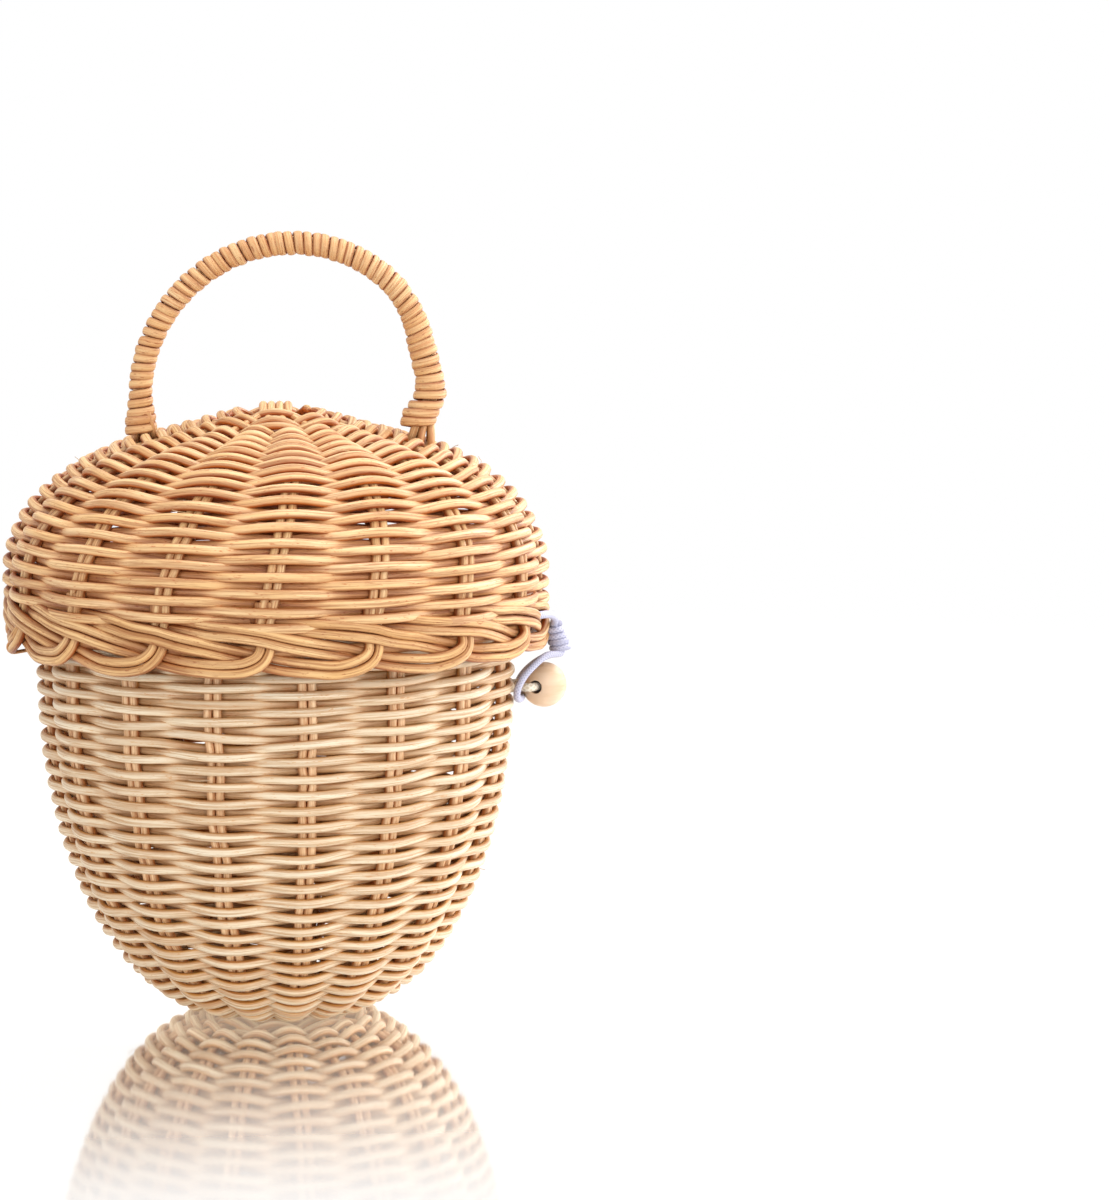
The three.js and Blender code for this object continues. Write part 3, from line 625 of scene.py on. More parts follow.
def weavers(shell, rows, half_tall, turned, lean, seed, top_margin, wander):
    """The two long strands that spiral up the wall, one a row above the other.
    The periods of their waves are radians round the wall, or millimetres up it."""
    pitch = (shell.length - top_margin - FIRST_ROW) / rows
    turn_waves = [Wave(seed + k, 0.9) for k in range(3)]
    way_waves = [Wave(seed + 10 + k, 26.0) for k in range(3)]
    strands = []
    for which in (0, 1):
        phi = np.arange(0, (rows - which) / 2 * TURN, TURN / WEAVER_SAMPLES) + which * math.pi
        way = FIRST_ROW + (phi - which * math.pi) / TURN * 2 * pitch
        way = np.minimum(way, shell.length - top_margin)
        radius = shell.radius(way)
        calm = smooth(radius, *CALM_R)
        drift = sum(a(phi) * b(way) for a, b in zip(turn_waves, way_waves)) * wander
        own = Wave(seed + 30 + which, 1.3, 7)(phi) * WEAVER_STRAY
        sense = 1 if which == 0 else -1
        side = sense * over_under(phi, stake_angle(shell, way, turned, lean), radius)
        depth = side * SWING * (SWING_SHARE + SWING_UNEVEN * Wave(seed + 40 + which, 0.8)(phi))
        placed = way + (drift + own) * calm * smooth(shell.length - way, 0, 12)
        placed = placed + shell.behind(way) * calm * smooth(-depth, -1.5, 2.5)
        centre, out = shell.at(placed, phi, depth)
        thick = 1 + WEAVER_UNEVEN * Wave(seed + 50 + which, 2.4, 5)(phi)
        tall = half_tall * thick * (0.9 + 0.1 * calm)
        in_front, inside = smooth(depth, TUCKED, PROUD), smooth(-depth, TUCKED, PROUD)
        # Painted shade: the outer face darkens as the weaver dips behind the stakes, the inner face stays dark, most
        # where it passes in front, and the sides take contact shade.
        strands.append(Strand(centre, out, tall, WEAVER_THICK * thick, seed + which,
                              shade_out=DIP_SHADE * (1 - in_front), shade_in=1 - 0.4 * inside,
                              shade_side=0.55, flat=0.3))
    return strands


STAKE_SAMPLE_STEP = 1.6
STAKE_WANDER, STAKE_APART_UNEVEN, ROD_JITTER = 0.35, 0.04, 0.12
ARM_FROM_R = SPREAD_R * 1.12  # where the rods of the cross have fanned out into arms
PAIR_OPENS_R = (26, 40)
SECOND_ROD_R, SECOND_ROD_STAGGER = 35, 3
CROSS_ARCH_REACH = 9.5


def stake_rods(shell, turned, lean, seed, top_way, upper_bundle, arch):
    """Eight rods through the cross, and a second rod beside each of their sixteen arms.
    Four rods lie over the other four, and at the crown they arch up."""
    arm_way = np.concatenate([np.arange(ARM_FROM_R - CROSS_R, top_way, STAKE_SAMPLE_STEP), [top_way]])
    radius = shell.radius(arm_way)
    spread_share = smooth(radius, *PAIR_OPENS_R)
    up = np.array([0, 0, shell.out[0, 1]])
    # Painted shade on the stakes' inner faces and sides, where the weavers hide them.
    stake_shade = dict(shade_out=0.0, shade_in=0.5, shade_side=0.7)
    strands = []
    for bundle in (0, 1):
        upper = bundle == upper_bundle
        layer = CROSS_LAYER if upper else -CROSS_LAYER
        heading = bundle * math.pi / 2
        for index in range(4):
            slot = index - 1.5
            arms = []
            for direction in (1, -1):
                toward = heading + (0 if direction > 0 else math.pi)
                fan = slot * STEP * direction
                number = int(round((toward + fan) / STEP - 0.5)) % STAKES
                wobble = STAKE_WANDER * Wave(seed + 7 * number, 22.0)(arm_way)
                apart = STAKE_APART * (1 + STAKE_APART_UNEVEN * Wave(seed + 200 + number, 15.0)(arm_way))
                middle = toward + fan + stake_angle(shell, arm_way, turned, lean)
                for rod in (-1, 1):
                    jitter = ROD_JITTER * Wave(seed + 100 + 2 * number + rod, 9.0)(arm_way)
                    aside = (rod * apart + jitter + wobble) * spread_share
                    phi = middle + aside / radius
                    depth = ROD_JITTER * Wave(seed + 300 + 2 * number + rod, 12.0)(arm_way)
                    points, out = shell.at(arm_way, phi, depth)
                    if rod == -1:
                        arms.append((points, out))
                        continue
                    keep = radius > SECOND_ROD_R + SECOND_ROD_STAGGER * ((number * 7) % 4)
                    strands.append(Strand(points[keep], out[keep], STAKE_ROD_R, STAKE_ROD_R * STAKE_ROD_FLAT,
                                          seed + 150 + number, **stake_shade))
            ahead = np.array([math.cos(heading + turned), math.sin(heading + turned), 0])
            beside = np.array([-ahead[1], ahead[0], 0])
            across_cross = np.linspace(-CROSS_REACH, CROSS_REACH, 7)
            lift = layer + (arch if upper else 0.4 * arch) * (1 - (across_cross / CROSS_ARCH_REACH) ** 2)
            height = np.array([0, 0, shell.height(0.0)])
            flat = [height + ahead * x + beside * slot * CROSS_PITCH + up * h for x, h in zip(across_cross, lift)]
            (near, near_out), (far, far_out) = arms
            points = np.vstack([far[::-1], flat, near])
            outs = np.vstack([far_out[::-1], np.tile(up, (7, 1)), near_out])
            line = curve_through(points, 1.7)
            share_in, share_out = np.linspace(0, 1, len(points)), np.linspace(0, 1, len(line))
            outs = unit(np.stack([np.interp(share_out, share_in, outs[:, k]) for k in range(3)], 1))
            strands.append(Strand(line, outs, STAKE_ROD_R, STAKE_ROD_R * STAKE_ROD_FLAT,
                                  seed + 100 + bundle * 4 + index, **stake_shade))
    return strands


# ---------------------------------------------------------------- braided borders
# Each row of a braid's path: way along in stake steps, distance from the free edge, and depth.
LID_BRAID = ((0, 27, 0), (0, 21, -0.3), (-0.01, 15, -1.3), (0.0, 10.2, 0.6), (0.05, 7.2, 1.7), (0.16, 4.9, 1.8),
             (0.36, 3.35, 0.9), (0.6, 3.5, 0.1), (0.82, 4.6, -1.1), (1.0, 6.1, -1.6), (1.22, 8.1, -1.3),
             (1.5, 10.7, 0.2), (1.8, 13.3, 1.5), (2.0, 14.9, 1.8), (2.25, 16.4, 1.4), (2.5, 17.6, 0.4),
             (2.75, 18.5, -1.3), (2.95, 18.9, -2.9), (3.12, 19.1, -3.3))
CUP_BRAID = ((0, 27, 0), (0, 20, -0.3), (0.0, 15, -1.3), (0.0, 11.5, 0.6), (0.05, 8.2, 1.6), (0.17, 4.9, 1.7),
             (0.4, 3.3, 0.8), (0.7, 4.6, -0.6), (1.0, 7.2, -1.5), (1.25, 9.6, -0.9), (1.5, 12.0, 0.3),
             (1.8, 14.2, 1.6), (2.0, 15.2, 1.8), (2.3, 16.3, 1.2), (2.6, 17.0, -0.2), (2.9, 17.4, -2.6),
             (3.1, 17.4, -3.2))


BRAID_TUCKED, BRAID_PROUD = -2.4, 0.9
STRAY_ALONG, STRAY_EDGE, STRAY_ROD = 0.018, 0.2, 0.22  # how far the rods of the braids stray
BRAID_APART, BRAID_APART_UNEVEN, BRAID_SKEW, BRAID_ROD_FLAT = 1.01, 0.03, 0.16, 0.96


def braid(path, first_angle, sense, edge_z, up, radius, rod_r, seed, top_inset):
    """Sixteen pairs of rods that come off the stakes and run sideways over and under each other.
    The periods of their waves are shares of a rod's length."""
    strands = []
    for k in range(STAKES):
        rng = np.random.default_rng(seed + k)
        steps = np.array(path, float)
        steps[5:, 0] += rng.normal(0, STRAY_ALONG)
        steps[6:-3, 1] += rng.normal(0, STRAY_EDGE, len(steps) - 9) + rng.normal(0, STRAY_ROD)
        phi = first_angle + k * STEP + sense * steps[:, 0] * STEP
        z = edge_z + up * steps[:, 1]
        r = radius + steps[:, 2]
        r[:2] += top_inset
        line = curve_through(np.stack([r * np.cos(phi), r * np.sin(phi), z], 1), 1.3)
        out = unit(line * np.array([1, 1, 0]))
        across = unit(np.cross(out, unit(np.gradient(line, axis=0))))
        share = np.linspace(0, 1, len(line))
        depth = np.hypot(line[:, 0], line[:, 1]) - radius
        for rod in (-1, 1):
            apart = rod_r * (BRAID_APART + BRAID_APART_UNEVEN * Wave(seed + 40 + k, 0.3)(share))
            shift = rod * apart + ROD_JITTER * Wave(seed + 80 + 2 * k + rod, 0.25)(share)
            skew = BRAID_SKEW * Wave(seed + 120 + 2 * k + rod, 0.3)(share)
            centre = line + across * shift[:, None] + out * skew[:, None]
            # Painted shade: the outer face darkens where a rod dips behind the others, and the inner face and sides
            # are dark throughout.
            strands.append(Strand(centre, out, rod_r, rod_r * BRAID_ROD_FLAT, seed + 2 * k + (rod + 1) // 2,
                                  shade_out=DIP_SHADE * (1 - smooth(depth, BRAID_TUCKED, BRAID_PROUD)),
                                  shade_in=0.7, shade_side=0.7, flat=0.12))
    return strands


# ---------------------------------------------------------------- the cup
cup_rows = round((CUP.length - FIRST_ROW) / ROW_PITCH)
cup_strands = weavers(CUP, cup_rows, CUP_WEAVER_TALL, CUP_TURN, CUP_LEAN, seed=11, top_margin=-0.5, wander=0.32)
cup_fibres = stray_fibres(CUP, 14, seed=31)
fit(strand_mesh("cup_weaver_1", [cup_strands[0]] + cup_fibres), "cup", "cream_rattan", CREAM, "cup_weave")
fit(strand_mesh("cup_weaver_2", [cup_strands[1]]), "cup", "cream_rattan", CREAM)
cup_stakes = stake_rods(CUP, CUP_TURN, CUP_LEAN, seed=400, top_way=CUP.length - 3, upper_bundle=0, arch=0.0)
fit(strand_mesh("cup_stakes", cup_stakes), "cup", "cream_rattan", CREAM_STAKE,
    *[f"cup_stake_{i}" for i in range(1, 9)])
cup_border = braid(CUP_BRAID, CUP_TURN + STEP / 2, sense=1, edge_z=CUP_TOP_Z - 0.2, up=-1, radius=CUP_R - 4.2,
                   rod_r=1.62, seed=900, top_inset=-0.5)
fit(strand_mesh("cup_braid", cup_border), "cup", "cream_rattan", CREAM, "cup_border")

# ---------------------------------------------------------------- the lid
RING_R, RING_Z, RING_HALF_TALL, RING_HALF_THICK, RING_SAMPLES = 94.9, 147.0, 2.2, 1.3, 360
HELD_ROD_R, HELD_ROD_HALF, HELD_ROD_SAMPLES = 1.5, 24, 25


def rim_core():
    """Two strands behind the lid's braid: a ring that closes its gaps, and the straight rod that the
    hinge ties hold."""
    angle = np.linspace(0, TURN, RING_SAMPLES + 1)[:-1]
    ring = np.stack([RING_R * np.cos(angle), RING_R * np.sin(angle), np.full(RING_SAMPLES, RING_Z)], 1)
    rod = np.stack([np.full(HELD_ROD_SAMPLES, HINGE_X), np.linspace(-HELD_ROD_HALF, HELD_ROD_HALF, HELD_ROD_SAMPLES),
                    np.full(HELD_ROD_SAMPLES, HINGE_Z)], 1)
    # Painted shade on both faces of the ring, which lies hidden behind the braid, and at the rod's sides.
    return [Strand(ring, unit(ring * np.array([1, 1, 0])), RING_HALF_TALL, RING_HALF_THICK, 990,
                   shade_out=0.6, shade_in=0.6, closed=True),
            Strand(rod, np.array([-1.0, 0, 0]), HELD_ROD_R, HELD_ROD_R, 991, shade_side=0.3)]


lid_rows = round((LID.length - FIRST_ROW) / ROW_PITCH)
lid_strands = weavers(LID, lid_rows, LID_WEAVER_TALL, LID_TURN, LID_LEAN, seed=61, top_margin=0.0, wander=0.34)
lid_fibres = stray_fibres(LID, 18, seed=83)
fit(strand_mesh("lid_weaver_1", [lid_strands[0]] + lid_fibres), "lid", "honey_rattan", HONEY, "lid_weave")
fit(strand_mesh("lid_weaver_2", [lid_strands[1]]), "lid", "honey_rattan", HONEY)
lid_stakes = stake_rods(LID, LID_TURN, LID_LEAN, seed=600, top_way=LID.length - 2, upper_bundle=1, arch=CROWN_ARCH)
fit(strand_mesh("lid_stakes", lid_stakes), "lid", "honey_rattan", HONEY_STAKE,
    *[f"lid_stake_{i}" for i in range(1, 9)])
lid_border = braid(LID_BRAID, LID_LEAN + STEP / 2, sense=-1, edge_z=LID_RIM_Z + 1.1, up=1, radius=LID_R - 3.6,
                   rod_r=1.7, seed=950, top_inset=-0.9) + rim_core()
fit(strand_mesh("lid_braid", lid_border), "lid", "honey_rattan", BORDER, "lid_border", "lid_hinge_rod")

# ---------------------------------------------------------------- the handle
foot_span = HANDLE_R - HANDLE_INSET
foot_z = float(dome_height(foot_span + HANDLE_SHIFT))
arch_z = foot_z + HANDLE_LEG
leg_low = foot_z - WALL - HANDLE_TAIL
leg_length = arch_z - leg_low
handle_way = 2 * leg_length + math.pi * HANDLE_R
handle_slope = HANDLE_LEAN / (HANDLE_LEG + HANDLE_R)


def handle_frame(way):
    """Centre, direction, sideways and inward side of the handle at ways along it."""
    way = np.asarray(way, float)
    side = np.where(way < handle_way / 2, -1.0, 1.0)
    from_foot = np.minimum(way, handle_way - way)
    leg = from_foot < leg_length
    angle = np.clip((from_foot - leg_length) / HANDLE_R, 0, None)
    x = np.where(leg, side * (foot_span + HANDLE_INSET * from_foot / leg_length), side * HANDLE_R * np.cos(angle))
    z = np.where(leg, leg_low + from_foot, arch_z + HANDLE_R * np.sin(angle))
    along_x = np.where(leg, side * HANDLE_INSET / leg_length, -side * np.sin(angle))
    along_z = np.where(leg, 1.0, np.cos(angle))
    zero = np.zeros_like(x)
    at = np.stack([x + HANDLE_SHIFT + handle_slope * (z - foot_z), zero, z], -1)
    along = -side[..., None] * unit(np.stack([along_x + handle_slope * along_z, zero, along_z], -1))
    sideways = np.broadcast_to(np.array([0.0, 1.0, 0.0]), at.shape)
    out = unit(np.cross(along, sideways))
    cos, sin = math.cos(HANDLE_TURN), math.sin(HANDLE_TURN)
    turn = np.array([[cos, -sin, 0], [sin, cos, 0], [0, 0, 1]]).T
    return at @ turn, along @ turn, sideways @ turn, out @ turn


def dome_beside(reach):
    """How far above the leg's lowest point the dome's top lies at a reach from the axis."""
    return float(dome_height(reach) + crown_lift(reach)) - leg_low


WRAP_R, WRAP_HALF_WIDE, WRAP_HALF_THICK, WRAP_FLAT = 3.6, 1.66, 0.8, 0.28
WRAP_SAMPLES = 28  # points in a turn
WRAP_SPIN_START, WRAP_CALM_SHARE = 0.9, 0.03
WRAP_UNEVEN_WAY, WRAP_UNEVEN_R, WRAP_UNEVEN_WIDE, WRAP_TILT = 0.0016, 0.13, 0.07, 0.16
FOOT_EDGE, FIRST_TURN_LOW, LAST_TURN_LOW = 5, 1.0, 1.6
FIRST_SWELL, FIRST_SWELL_TURNS = 1.5, (0.4, 4.5)
# How the binding sits on its last leg: turns before its end, and how far it leans out or swells there.
LAST_LEG_LEAN = ((0, -3.6), (1.2, -3.2), (2.0, -2.0), (3.0, -0.7), (4.0, 0.0), (5.0, -0.3), (7.0, -1.4),
                 (9.5, -2.0), (12.0, -1.2), (17.0, 0.0))
LAST_LEG_SWELL = ((0, 2.2), (1.5, 2.1), (3.0, 1.6), (4.0, 1.6), (5.0, 1.0), (7.0, 0.9), (9.5, 0.8),
                  (12.0, 0.4), (16.0, 0.0))


def handle_wrap():
    """One strand wound round the rods from foot to foot, loose and thick over its last turns."""
    first = dome_beside(foot_span - HANDLE_SHIFT - FOOT_EDGE) - FIRST_TURN_LOW
    last = handle_way - dome_beside(foot_span + HANDLE_SHIFT - FOOT_EDGE) - LAST_TURN_LOW
    share = np.linspace(0, 1, WRAP_TURNS * WRAP_SAMPLES + 1)
    inner_share = smooth(share, 0, WRAP_CALM_SHARE) * smooth(1 - share, 0, WRAP_CALM_SHARE)
    way = first + (last - first) * (share + WRAP_UNEVEN_WAY * Wave(5, 0.06, 5)(share) * inner_share)
    at, along, sideways, out = handle_frame(way)
    turns = share * WRAP_TURNS
    spin = turns * TURN + WRAP_SPIN_START
    side_out = sideways * np.cos(spin)[:, None] + out * np.sin(spin)[:, None]
    to_end = WRAP_TURNS - turns
    swell = FIRST_SWELL * (1 - smooth(turns, *FIRST_SWELL_TURNS)) + np.interp(to_end, *zip(*LAST_LEG_SWELL))
    at = at + out * np.interp(to_end, *zip(*LAST_LEG_LEAN))[:, None]
    wrap_r = WRAP_R + swell + WRAP_UNEVEN_R * Wave(6, 0.022, 6)(share)
    wide = WRAP_HALF_WIDE * (1 + WRAP_UNEVEN_WIDE * Wave(7, 0.02, 6)(share))
    tilted = along + (WRAP_TILT * Wave(8, 0.014)(share))[:, None] * side_out
    # Painted shade on the binding's inner face, against the rods, and at its edges between turns.
    return Strand(at + side_out * wrap_r[:, None], side_out, wide, WRAP_HALF_THICK, 3, shade_in=0.9,
                  shade_side=0.8, flat=WRAP_FLAT, across=tilted)


TUCK_LOW, TUCK_HALF_WIDE, TUCK_HALF_THICK = 11.5, 1.5, 0.9


def tucked_end(on_last_leg, side, seed):
    """The end of the binding, laid down along the leg and pushed into the weave: at each way along
    the leg, its reach from the leg's middle and how far it has turned to one side."""
    way = np.array([0.0, 2.5, 6.5, 11.0]) + TUCK_LOW
    at, _, sideways, out = handle_frame(handle_way - way if on_last_leg else way)
    reach = np.array([5.6, 5.1, 4.9, 4.2])
    turned = np.array([0.1, 0.35, 0.6, 0.9]) * side
    points = at - out * (reach * np.cos(turned))[:, None] + sideways * (reach * np.sin(turned))[:, None]
    line = curve_through(points, 0.8)
    # Painted shade at the end's edges.
    return Strand(line, carried_side(line), TUCK_HALF_WIDE, TUCK_HALF_THICK, seed, shade_side=0.4, flat=0.35)


wrap_strands = [handle_wrap(), tucked_end(False, -1, 21), tucked_end(True, -1, 22), tucked_end(True, 1, 23)]
fit(strand_mesh("handle_binding", wrap_strands), "lid", "binding_cane", BINDING, "handle_wrap")


CORE_RODS, CORE_ROD_R, CORE_TURNED, CORE_SAMPLES = 4, 1.35, 0.6, 150
CORE_APART, FOOT_OPENS, FOOT_OPENS_WAY = 1.65, 1.15, (12, 20)


def handle_rods():
    """The core rods, side by side under the binding and apart where they go into the lid."""
    way = np.linspace(0, handle_way, CORE_SAMPLES)
    at, _, sideways, out = handle_frame(way)
    near_foot = 1 - smooth(np.minimum(way, handle_way - way), *FOOT_OPENS_WAY)
    strands = []
    for index in range(CORE_RODS):
        angle = index / CORE_RODS * TURN + CORE_TURNED
        spread_out = (CORE_APART + FOOT_OPENS * near_foot)[:, None]
        centre = at + (sideways * math.cos(angle) + out * math.sin(angle)) * spread_out
        # Painted shade on the rods near the feet, where they go into the lid, and at their sides.
        strands.append(Strand(centre, out, CORE_ROD_R, CORE_ROD_R, 30 + index, shade_out=0.35 * near_foot,
                              shade_in=0.35 * near_foot, shade_side=0.3))
    return strands


fit(strand_mesh("handle_core", handle_rods(), sides=10), "lid", "honey_rattan", HONEY_STAKE,
    "handle_rod_1", "handle_rod_2", "handle_rod_3")


# ---------------------------------------------------------------- the closure
def closure(outward, sideways, height):
    """A point by its reach from the basket's axis, its place beside the closure's middle and its height."""
    cos, sin = math.cos(CUP_TURN), math.sin(CUP_TURN)
    return [outward * cos - sideways * sin, outward * sin + sideways * cos, height]


def cord_along(points, radius, seed, step=0.45):
    """A round cord through the points of its route."""
    line = curve_through(points, step)
    return Strand(line, carried_side(line), radius, radius, seed)


BEAD_TURN, BEAD_SIDES, MOUTH_R = math.radians(-24), 56, 2.35
BEAD_CORD_R, CORD_KNOT_R, CORD_KNOT_COIL_R = 1.55, 1.05, 1.6


def bead_mesh():
    """A turned bead: a round body with softened edges where its bore comes out.
    The third number of each outline point is how much painted shade it takes, full inside the bore."""
    end = math.acos((MOUTH_R + 0.5) / BEAD_R)
    tip = BEAD_R * math.sin(end)
    profile = [(BEAD_R * math.cos(a), BEAD_R * math.sin(a), 0.0) for a in np.linspace(-end, end, 30)]
    lip = ((MOUTH_R + 0.22, 0.02, 0.0), (MOUTH_R + 0.04, -0.2, 0.35), (MOUTH_R, -0.7, 0.8))
    bore = [(MOUTH_R, y, 1.0) for y in np.linspace(tip - 2.2, -tip + 2.2, 6)]
    outline = profile + [(r, tip + y, d) for r, y, d in lip] + bore + [(r, -tip - y, d) for r, y, d in lip[::-1]]
    count = len(outline)
    verts, depth, faces = [], [], []
    for k in range(BEAD_SIDES):
        angle, after = k / BEAD_SIDES * TURN, (k + 1) % BEAD_SIDES
        for i, (r, y, deep) in enumerate(outline):
            verts.append((r * math.cos(angle) * MM, y * MM, r * math.sin(angle) * MM))
            depth.append(deep)
            j = (i + 1) % count
            faces.append((k * count + i, k * count + j, after * count + j, after * count + i))
    return smooth_piece("wooden_bead", verts, faces, depth=depth)


bead = bead_mesh()
bead.location = Vector(closure(BEAD_REACH, 0, BEAD_Z)) * MM
bead.rotation_euler = (0, 0, CUP_TURN + BEAD_TURN)
fit(bead, "cup", "bead_wood", BEAD, "bead")


def bead_cord():
    """Out of the wall, round the bead's side, through its bore, and back to the wall on the other side."""
    spread_y = 0.66 * BEAD_R
    wall_reach = math.sqrt((CUP_R - WALL) ** 2 - spread_y ** 2) + 1.2
    seat = wall_reach - 5.9

    def round_bead(degrees, distance):
        """A point round the bead at an angle from the near mouth of its bore, seen from above, by the wall."""
        turned = math.radians(degrees) - BEAD_TURN
        return closure(BEAD_REACH - distance * math.sin(turned), -distance * math.cos(turned), BEAD_Z)

    clear = BEAD_R + BEAD_CORD_R
    in_wall = [(seat, spread_y), (CUP_R - MID, spread_y)]
    near = [closure(reach, -aside, BEAD_Z - 0.6) for reach, aside in in_wall]
    near += [closure(CUP_R - 0.2, -0.78 * BEAD_R, BEAD_Z - 0.4), round_bead(48, clear + 0.3),
             round_bead(26, clear + 0.5), round_bead(11, clear - 0.1), round_bead(5, clear - 2.6)]
    far = [round_bead(180 - 5, clear - 2.6), round_bead(180 - 11, clear - 0.1), round_bead(180 - 30, clear + 0.5),
           round_bead(180 - 62, clear + 0.2), closure(CUP_R + 0.4, 0.86 * BEAD_R, BEAD_Z - 0.4)]
    far += [closure(reach, aside, BEAD_Z - 0.6) for reach, aside in in_wall[::-1]]
    strands = [cord_along(near + far, BEAD_CORD_R, 41, 0.4)]
    for sign in (-1, 1):
        for number, shift in enumerate((-0.9, 1.1)):
            ring = [closure(seat + 2 + shift, sign * spread_y + CORD_KNOT_COIL_R * math.cos(a),
                            BEAD_Z - 0.6 + CORD_KNOT_COIL_R * math.sin(a)) for a in np.linspace(0, TURN, 15)]
            strands.append(cord_along(ring, CORD_KNOT_R, 50 + number, 0.5))
    return strands


fit(strand_mesh("bead_cord_braid", bead_cord()), "cup", "cream_cord", CORD, "bead_cord")


# The knot's two ends are reaches from the axis and heights.
KNOT_TOP, KNOT_LOW = (101.4, 144.0), (104.4, 134.4)
KNOT_TURNS, KNOT_COIL_R, KNOT_SWELL, KNOT_HEART_R = 4.0, 2.35, 0.5, 1.7
KNOT_HALF_WIDE, KNOT_HALF_THICK = 1.2, 1.25
STEM_R = ELASTIC_R + 0.15


def knot_point(share, outward=0.0, sideways=0.0):
    """A point beside the wound knot's tilted axis, which runs from its top to its lower end."""
    reach, height = (a + (b - a) * share for a, b in zip(KNOT_TOP, KNOT_LOW))
    run, fall = KNOT_LOW[0] - KNOT_TOP[0], KNOT_TOP[1] - KNOT_LOW[1]
    length = math.hypot(run, fall)
    return closure(reach + outward * fall / length, sideways, height + outward * run / length)


stem = [closure(93.6, -22.0, 149.8), closure(96.8, -18.6, 149.8), closure(99.4, -13.6, 149.4),
        closure(101.3, -8.2, 148.2), closure(102.1, -4.2, 146.4), knot_point(0.02, 0.2, -0.8), knot_point(0.2)]
fit(strand_mesh("elastic_stem", [cord_along(stem, STEM_R, 60)]), "lid", "white_elastic", ELASTIC,
    "closure_stem")

knot_turn = np.linspace(0, KNOT_TURNS * TURN, 200)
knot_share = np.linspace(0.04, 0.96, 200)
knot_r = KNOT_COIL_R + KNOT_SWELL * smooth(knot_share, 0.2, 0.8)
coil = np.array([knot_point(s, r * math.cos(a), r * math.sin(a))
                 for s, r, a in zip(knot_share, knot_r, knot_turn)])
heart = np.array([knot_point(s) for s in np.linspace(-0.05, 1.05, 24)])
# Painted shade on the knot's heart inside the coil, and at the coil's edges.
knot_strands = [Strand(coil, carried_side(coil), KNOT_HALF_WIDE, KNOT_HALF_THICK, 61, shade_side=0.5),
                Strand(heart, carried_side(heart, (1, 0, 0)), KNOT_HEART_R, KNOT_HEART_R, 62, shade_out=0.6,
                       shade_in=0.6)]
fit(strand_mesh("elastic_knot", knot_strands), "lid", "white_elastic", ELASTIC, "closure_knot")


# The loop's path beside the bead: reach from the axis, distance from the closure's middle, height.
LOOP_PATH = ((99.0, 8.0, 133.4), (94.4, 12.4, 130.2), (90.8, 15.6, 126.5), (88.7, 17.4, 122.6),
             (88.3, 16.6, 119.6), (88.9, 12.6, 118.0), (89.7, 7.0, 117.4), (89.9, 3.0, 117.2))
HOOK_DROP, HOOK_Z, HOOK_EASE = 1.2, 116, 8


def loop_side(sign):
    """Half of the loop: out of the knot, down beside the bead, and in behind it under its cord.
    One half runs lower than the other, so that they lie one on the other behind the bead."""
    drop = HOOK_DROP * (1 + sign)
    return [knot_point(0.84, 0.2, sign * 0.9), knot_point(1.06, 0.0, sign * 1.7)] + [
        closure(reach, sign * aside, height - drop * min(1, (height - HOOK_Z) / HOOK_EASE))
        for reach, aside, height in LOOP_PATH]


elastic_loop = cord_along(loop_side(-1) + loop_side(1)[::-1], ELASTIC_R, 64)
fit(strand_mesh("elastic_loop", [elastic_loop]), "lid", "white_elastic", ELASTIC, "closure_loop")


# ---------------------------------------------------------------- the hinge ties
TIE_TURNS_APART, TIE_HALF_WIDE, TIE_HALF_THICK = 1.5, 0.74, 0.5
TIE_R, TIE_INSIDE_R = 2.1, 1.9  # round the held rod, and round the weave inside the cup
OUTSIDE_X, TIE_LOW, TIE_HIGH, TIE_INSIDE_UP = -86.5, 0.9, 1.8, 0.5


def hinge_tie(sign):
    """Three turns of thin cane, each round the rod that the lid's border holds and through the cup's wall."""
    strands = []
    for number in range(3):
        y = sign * TIE_Y + (number - 1) * TIE_TURNS_APART
        inner_x = -math.sqrt((CUP_R - WALL) ** 2 - y * y)
        ring = [(HINGE_X + TIE_R * math.cos(a), y, HINGE_Z + TIE_R * math.sin(a))
                for a in np.linspace(0.45 * math.pi, 1.55 * math.pi, 9)]
        ring.append((OUTSIDE_X, y, HINGE_Z - TIE_LOW))
        ring += [(inner_x + TIE_INSIDE_R * math.cos(a), y, HINGE_Z + TIE_INSIDE_UP + TIE_INSIDE_R * math.sin(a))
                 for a in np.linspace(-0.5 * math.pi, 0.5 * math.pi, 7)]
        ring += [(OUTSIDE_X, y, HINGE_Z + TIE_HIGH), ring[0]]
        line = curve_through(ring, 0.7)[:-1]
        ahead = unit(np.roll(line, -1, 0) - np.roll(line, 1, 0))
        # Painted shade at the cane's edges and a little on its outer face.
        strands.append(Strand(line, np.cross(np.array([0, 1.0, 0]), ahead), TIE_HALF_WIDE, TIE_HALF_THICK,
                              70 + number, shade_out=0.1, shade_side=0.35, closed=True, flat=0.4))
    return strands


for name, sign in (("front", -1), ("back", 1)):
    tie = strand_mesh(f"hinge_tie_{name}_cane", hinge_tie(sign), sides=8)
    fit(tie, "cup", "hinge_cane", HINGE_CANE, f"hinge_tie_{name}")


# ---------------------------------------------------------------- floor, background and light
# All sizes and places here are in metres. The mirror and its painted warm glow fade toward the viewer, along -Y.
MIRROR_Y, MIRROR_SHARE = (-0.34, -0.06), 0.93
# The painted glow is warm light painted on the floor by the foot, which lightens the reflection and the shadow there.
PAINTED_GLOW_Y, PAINTED_GLOW = (-0.06, -0.03), (0.1, 0.27)
WHITE_FROM, WHITE_AT = 0.4, 1.2
FLOOR_REACH, FLOOR_SIDES = 9, 96


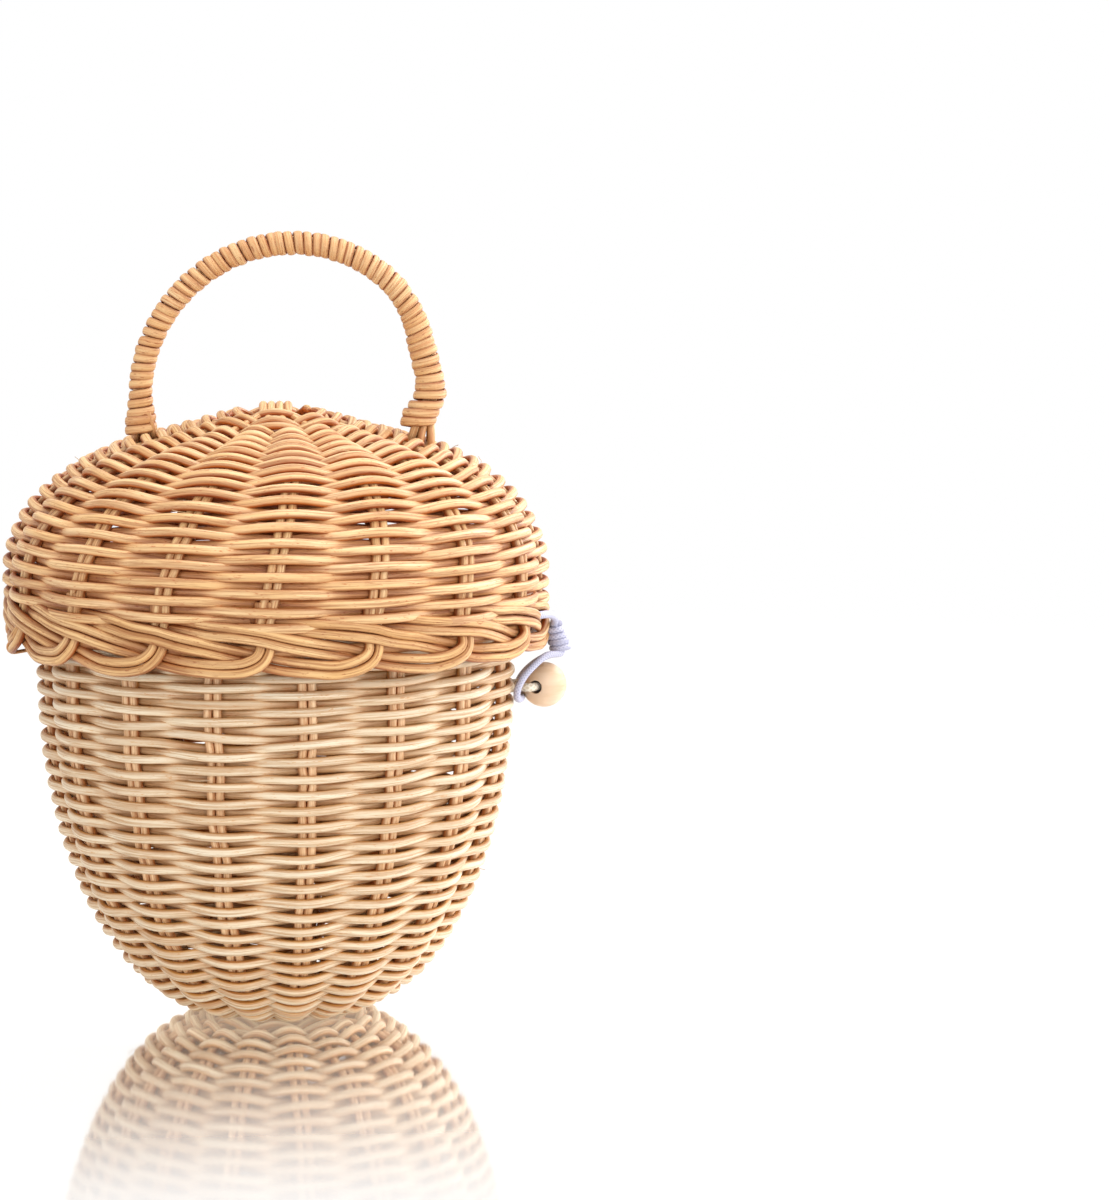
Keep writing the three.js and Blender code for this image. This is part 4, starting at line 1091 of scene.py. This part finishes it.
def floor_material():
    """A pale floor that mirrors the basket near its foot, with a painted warm glow added to the mirror there, and
    melts into the white background.
    """
    material, tree, shader = blank_material("floor")
    tree.nodes.remove(shader)
    output = tree.nodes["Material Output"]
    where = node(tree, "ShaderNodeNewGeometry").outputs["Position"]
    split = node(tree, "ShaderNodeSeparateXYZ")
    feed(tree, split.inputs[0], where)
    mirrored = spread(tree, split.outputs[1], *MIRROR_Y, 0.0, MIRROR_SHARE)
    distance = node(tree, "ShaderNodeVectorMath", operation="LENGTH")
    feed(tree, distance.inputs[0], where)
    away = spread(tree, distance.outputs["Value"], WHITE_FROM, WHITE_AT)
    pale = node(tree, "ShaderNodeBsdfDiffuse", Color=(0.4, 0.4, 0.4, 1))
    lift = node(tree, "ShaderNodeEmission", Color=(1, 1, 1, 1), Strength=0.3)
    gloss = node(tree, "ShaderNodeBsdfGlossy", Color=(0.96, 0.96, 0.96, 1), Roughness=0.06)
    # Painted warm light on the floor near the foot, added to the mirror.
    painted_glow = node(tree, "ShaderNodeEmission", Color=(1.0, 0.82, 0.6, 1))
    feed(tree, painted_glow.inputs["Strength"], spread(tree, split.outputs[1], *PAINTED_GLOW_Y, *PAINTED_GLOW))
    white = node(tree, "ShaderNodeEmission", Color=(1, 1, 1, 1), Strength=1.0)
    matt, bright = node(tree, "ShaderNodeAddShader"), node(tree, "ShaderNodeAddShader")
    near, all_round = node(tree, "ShaderNodeMixShader"), node(tree, "ShaderNodeMixShader")
    for made, *sources in ((matt, pale.outputs[0], lift.outputs[0]), (bright, gloss.outputs[0], painted_glow.outputs[0]),
                           (near, mirrored, matt.outputs[0], bright.outputs[0]),
                           (all_round, away, near.outputs[0], white.outputs[0]), (output, all_round.outputs[0])):
        for socket, value in zip(made.inputs, sources):
            feed(tree, socket, value)
    return material


def studio_world():
    """Soft light from all round, and plain white wherever the camera, a gloss or a glass sees past the floor."""
    world = bpy.data.worlds.new("studio")
    world.use_nodes = True
    tree = world.node_tree
    tree.nodes.clear()
    path = node(tree, "ShaderNodeLightPath").outputs
    seen = maths(tree, "MAXIMUM", path["Is Camera Ray"], path["Is Glossy Ray"])
    seen = maths(tree, "MAXIMUM", seen, path["Is Transmission Ray"])
    ambient = node(tree, "ShaderNodeBackground", Color=(1.0, 0.99, 0.98, 1), Strength=0.94)
    white = node(tree, "ShaderNodeBackground", Color=(1, 1, 1, 1), Strength=1.0)
    mixed = node(tree, "ShaderNodeMixShader")
    for socket, value in zip(mixed.inputs, (seen, ambient.outputs[0], white.outputs[0])):
        feed(tree, socket, value)
    feed(tree, node(tree, "ShaderNodeOutputWorld").inputs[0], mixed.outputs[0])
    return world


def area_light(name, at, aim_z, size, power, colour):
    """A round lamp that looks at the basket's axis at a height."""
    data = bpy.data.lights.new(name, "AREA")
    data.shape = "DISK"
    data.size = size
    data.energy = power
    data.color = colour
    light = add_object(name, data)
    light.location = at
    light.rotation_euler = (Vector((0, 0, aim_z)) - Vector(at)).to_track_quat("-Z", "Y").to_euler()


floor_mesh = bpy.data.meshes.new("floor")
rim = [(FLOOR_REACH * math.cos(a), FLOOR_REACH * math.sin(a), 0.0) for a in np.linspace(0, TURN, FLOOR_SIDES + 1)[:-1]]
floor_mesh.from_pydata(rim, [], [list(range(FLOOR_SIDES))])
floor_mesh.materials.append(floor_material())
floor = add_object("floor", floor_mesh)
bpy.context.scene.world = studio_world()
# Each lamp's place, the height it looks at, its width, its power and its colour.
for lamp in (("key", (0.9, -1.9, 0.6), 0.13, 1.3, 15.5, (1.0, 0.985, 0.96)),
             ("side", (1.9, -0.3, 0.6), 0.13, 2.0, 23, (1.0, 1.0, 1.0)),
             ("fill", (-1.5, -1.7, 0.5), 0.13, 1.3, 13.5, (1.0, 0.99, 0.98)),
             ("top", (0.2, 0.1, 1.7), 0.15, 1.2, 18.5, (1.0, 1.0, 1.0)),
             ("behind", (1.5, 1.0, 0.9), 0.15, 1.5, 25, (1.0, 1.0, 1.0))):
    area_light(*lamp)

bpy.context.scene.view_settings.view_transform = "Standard"
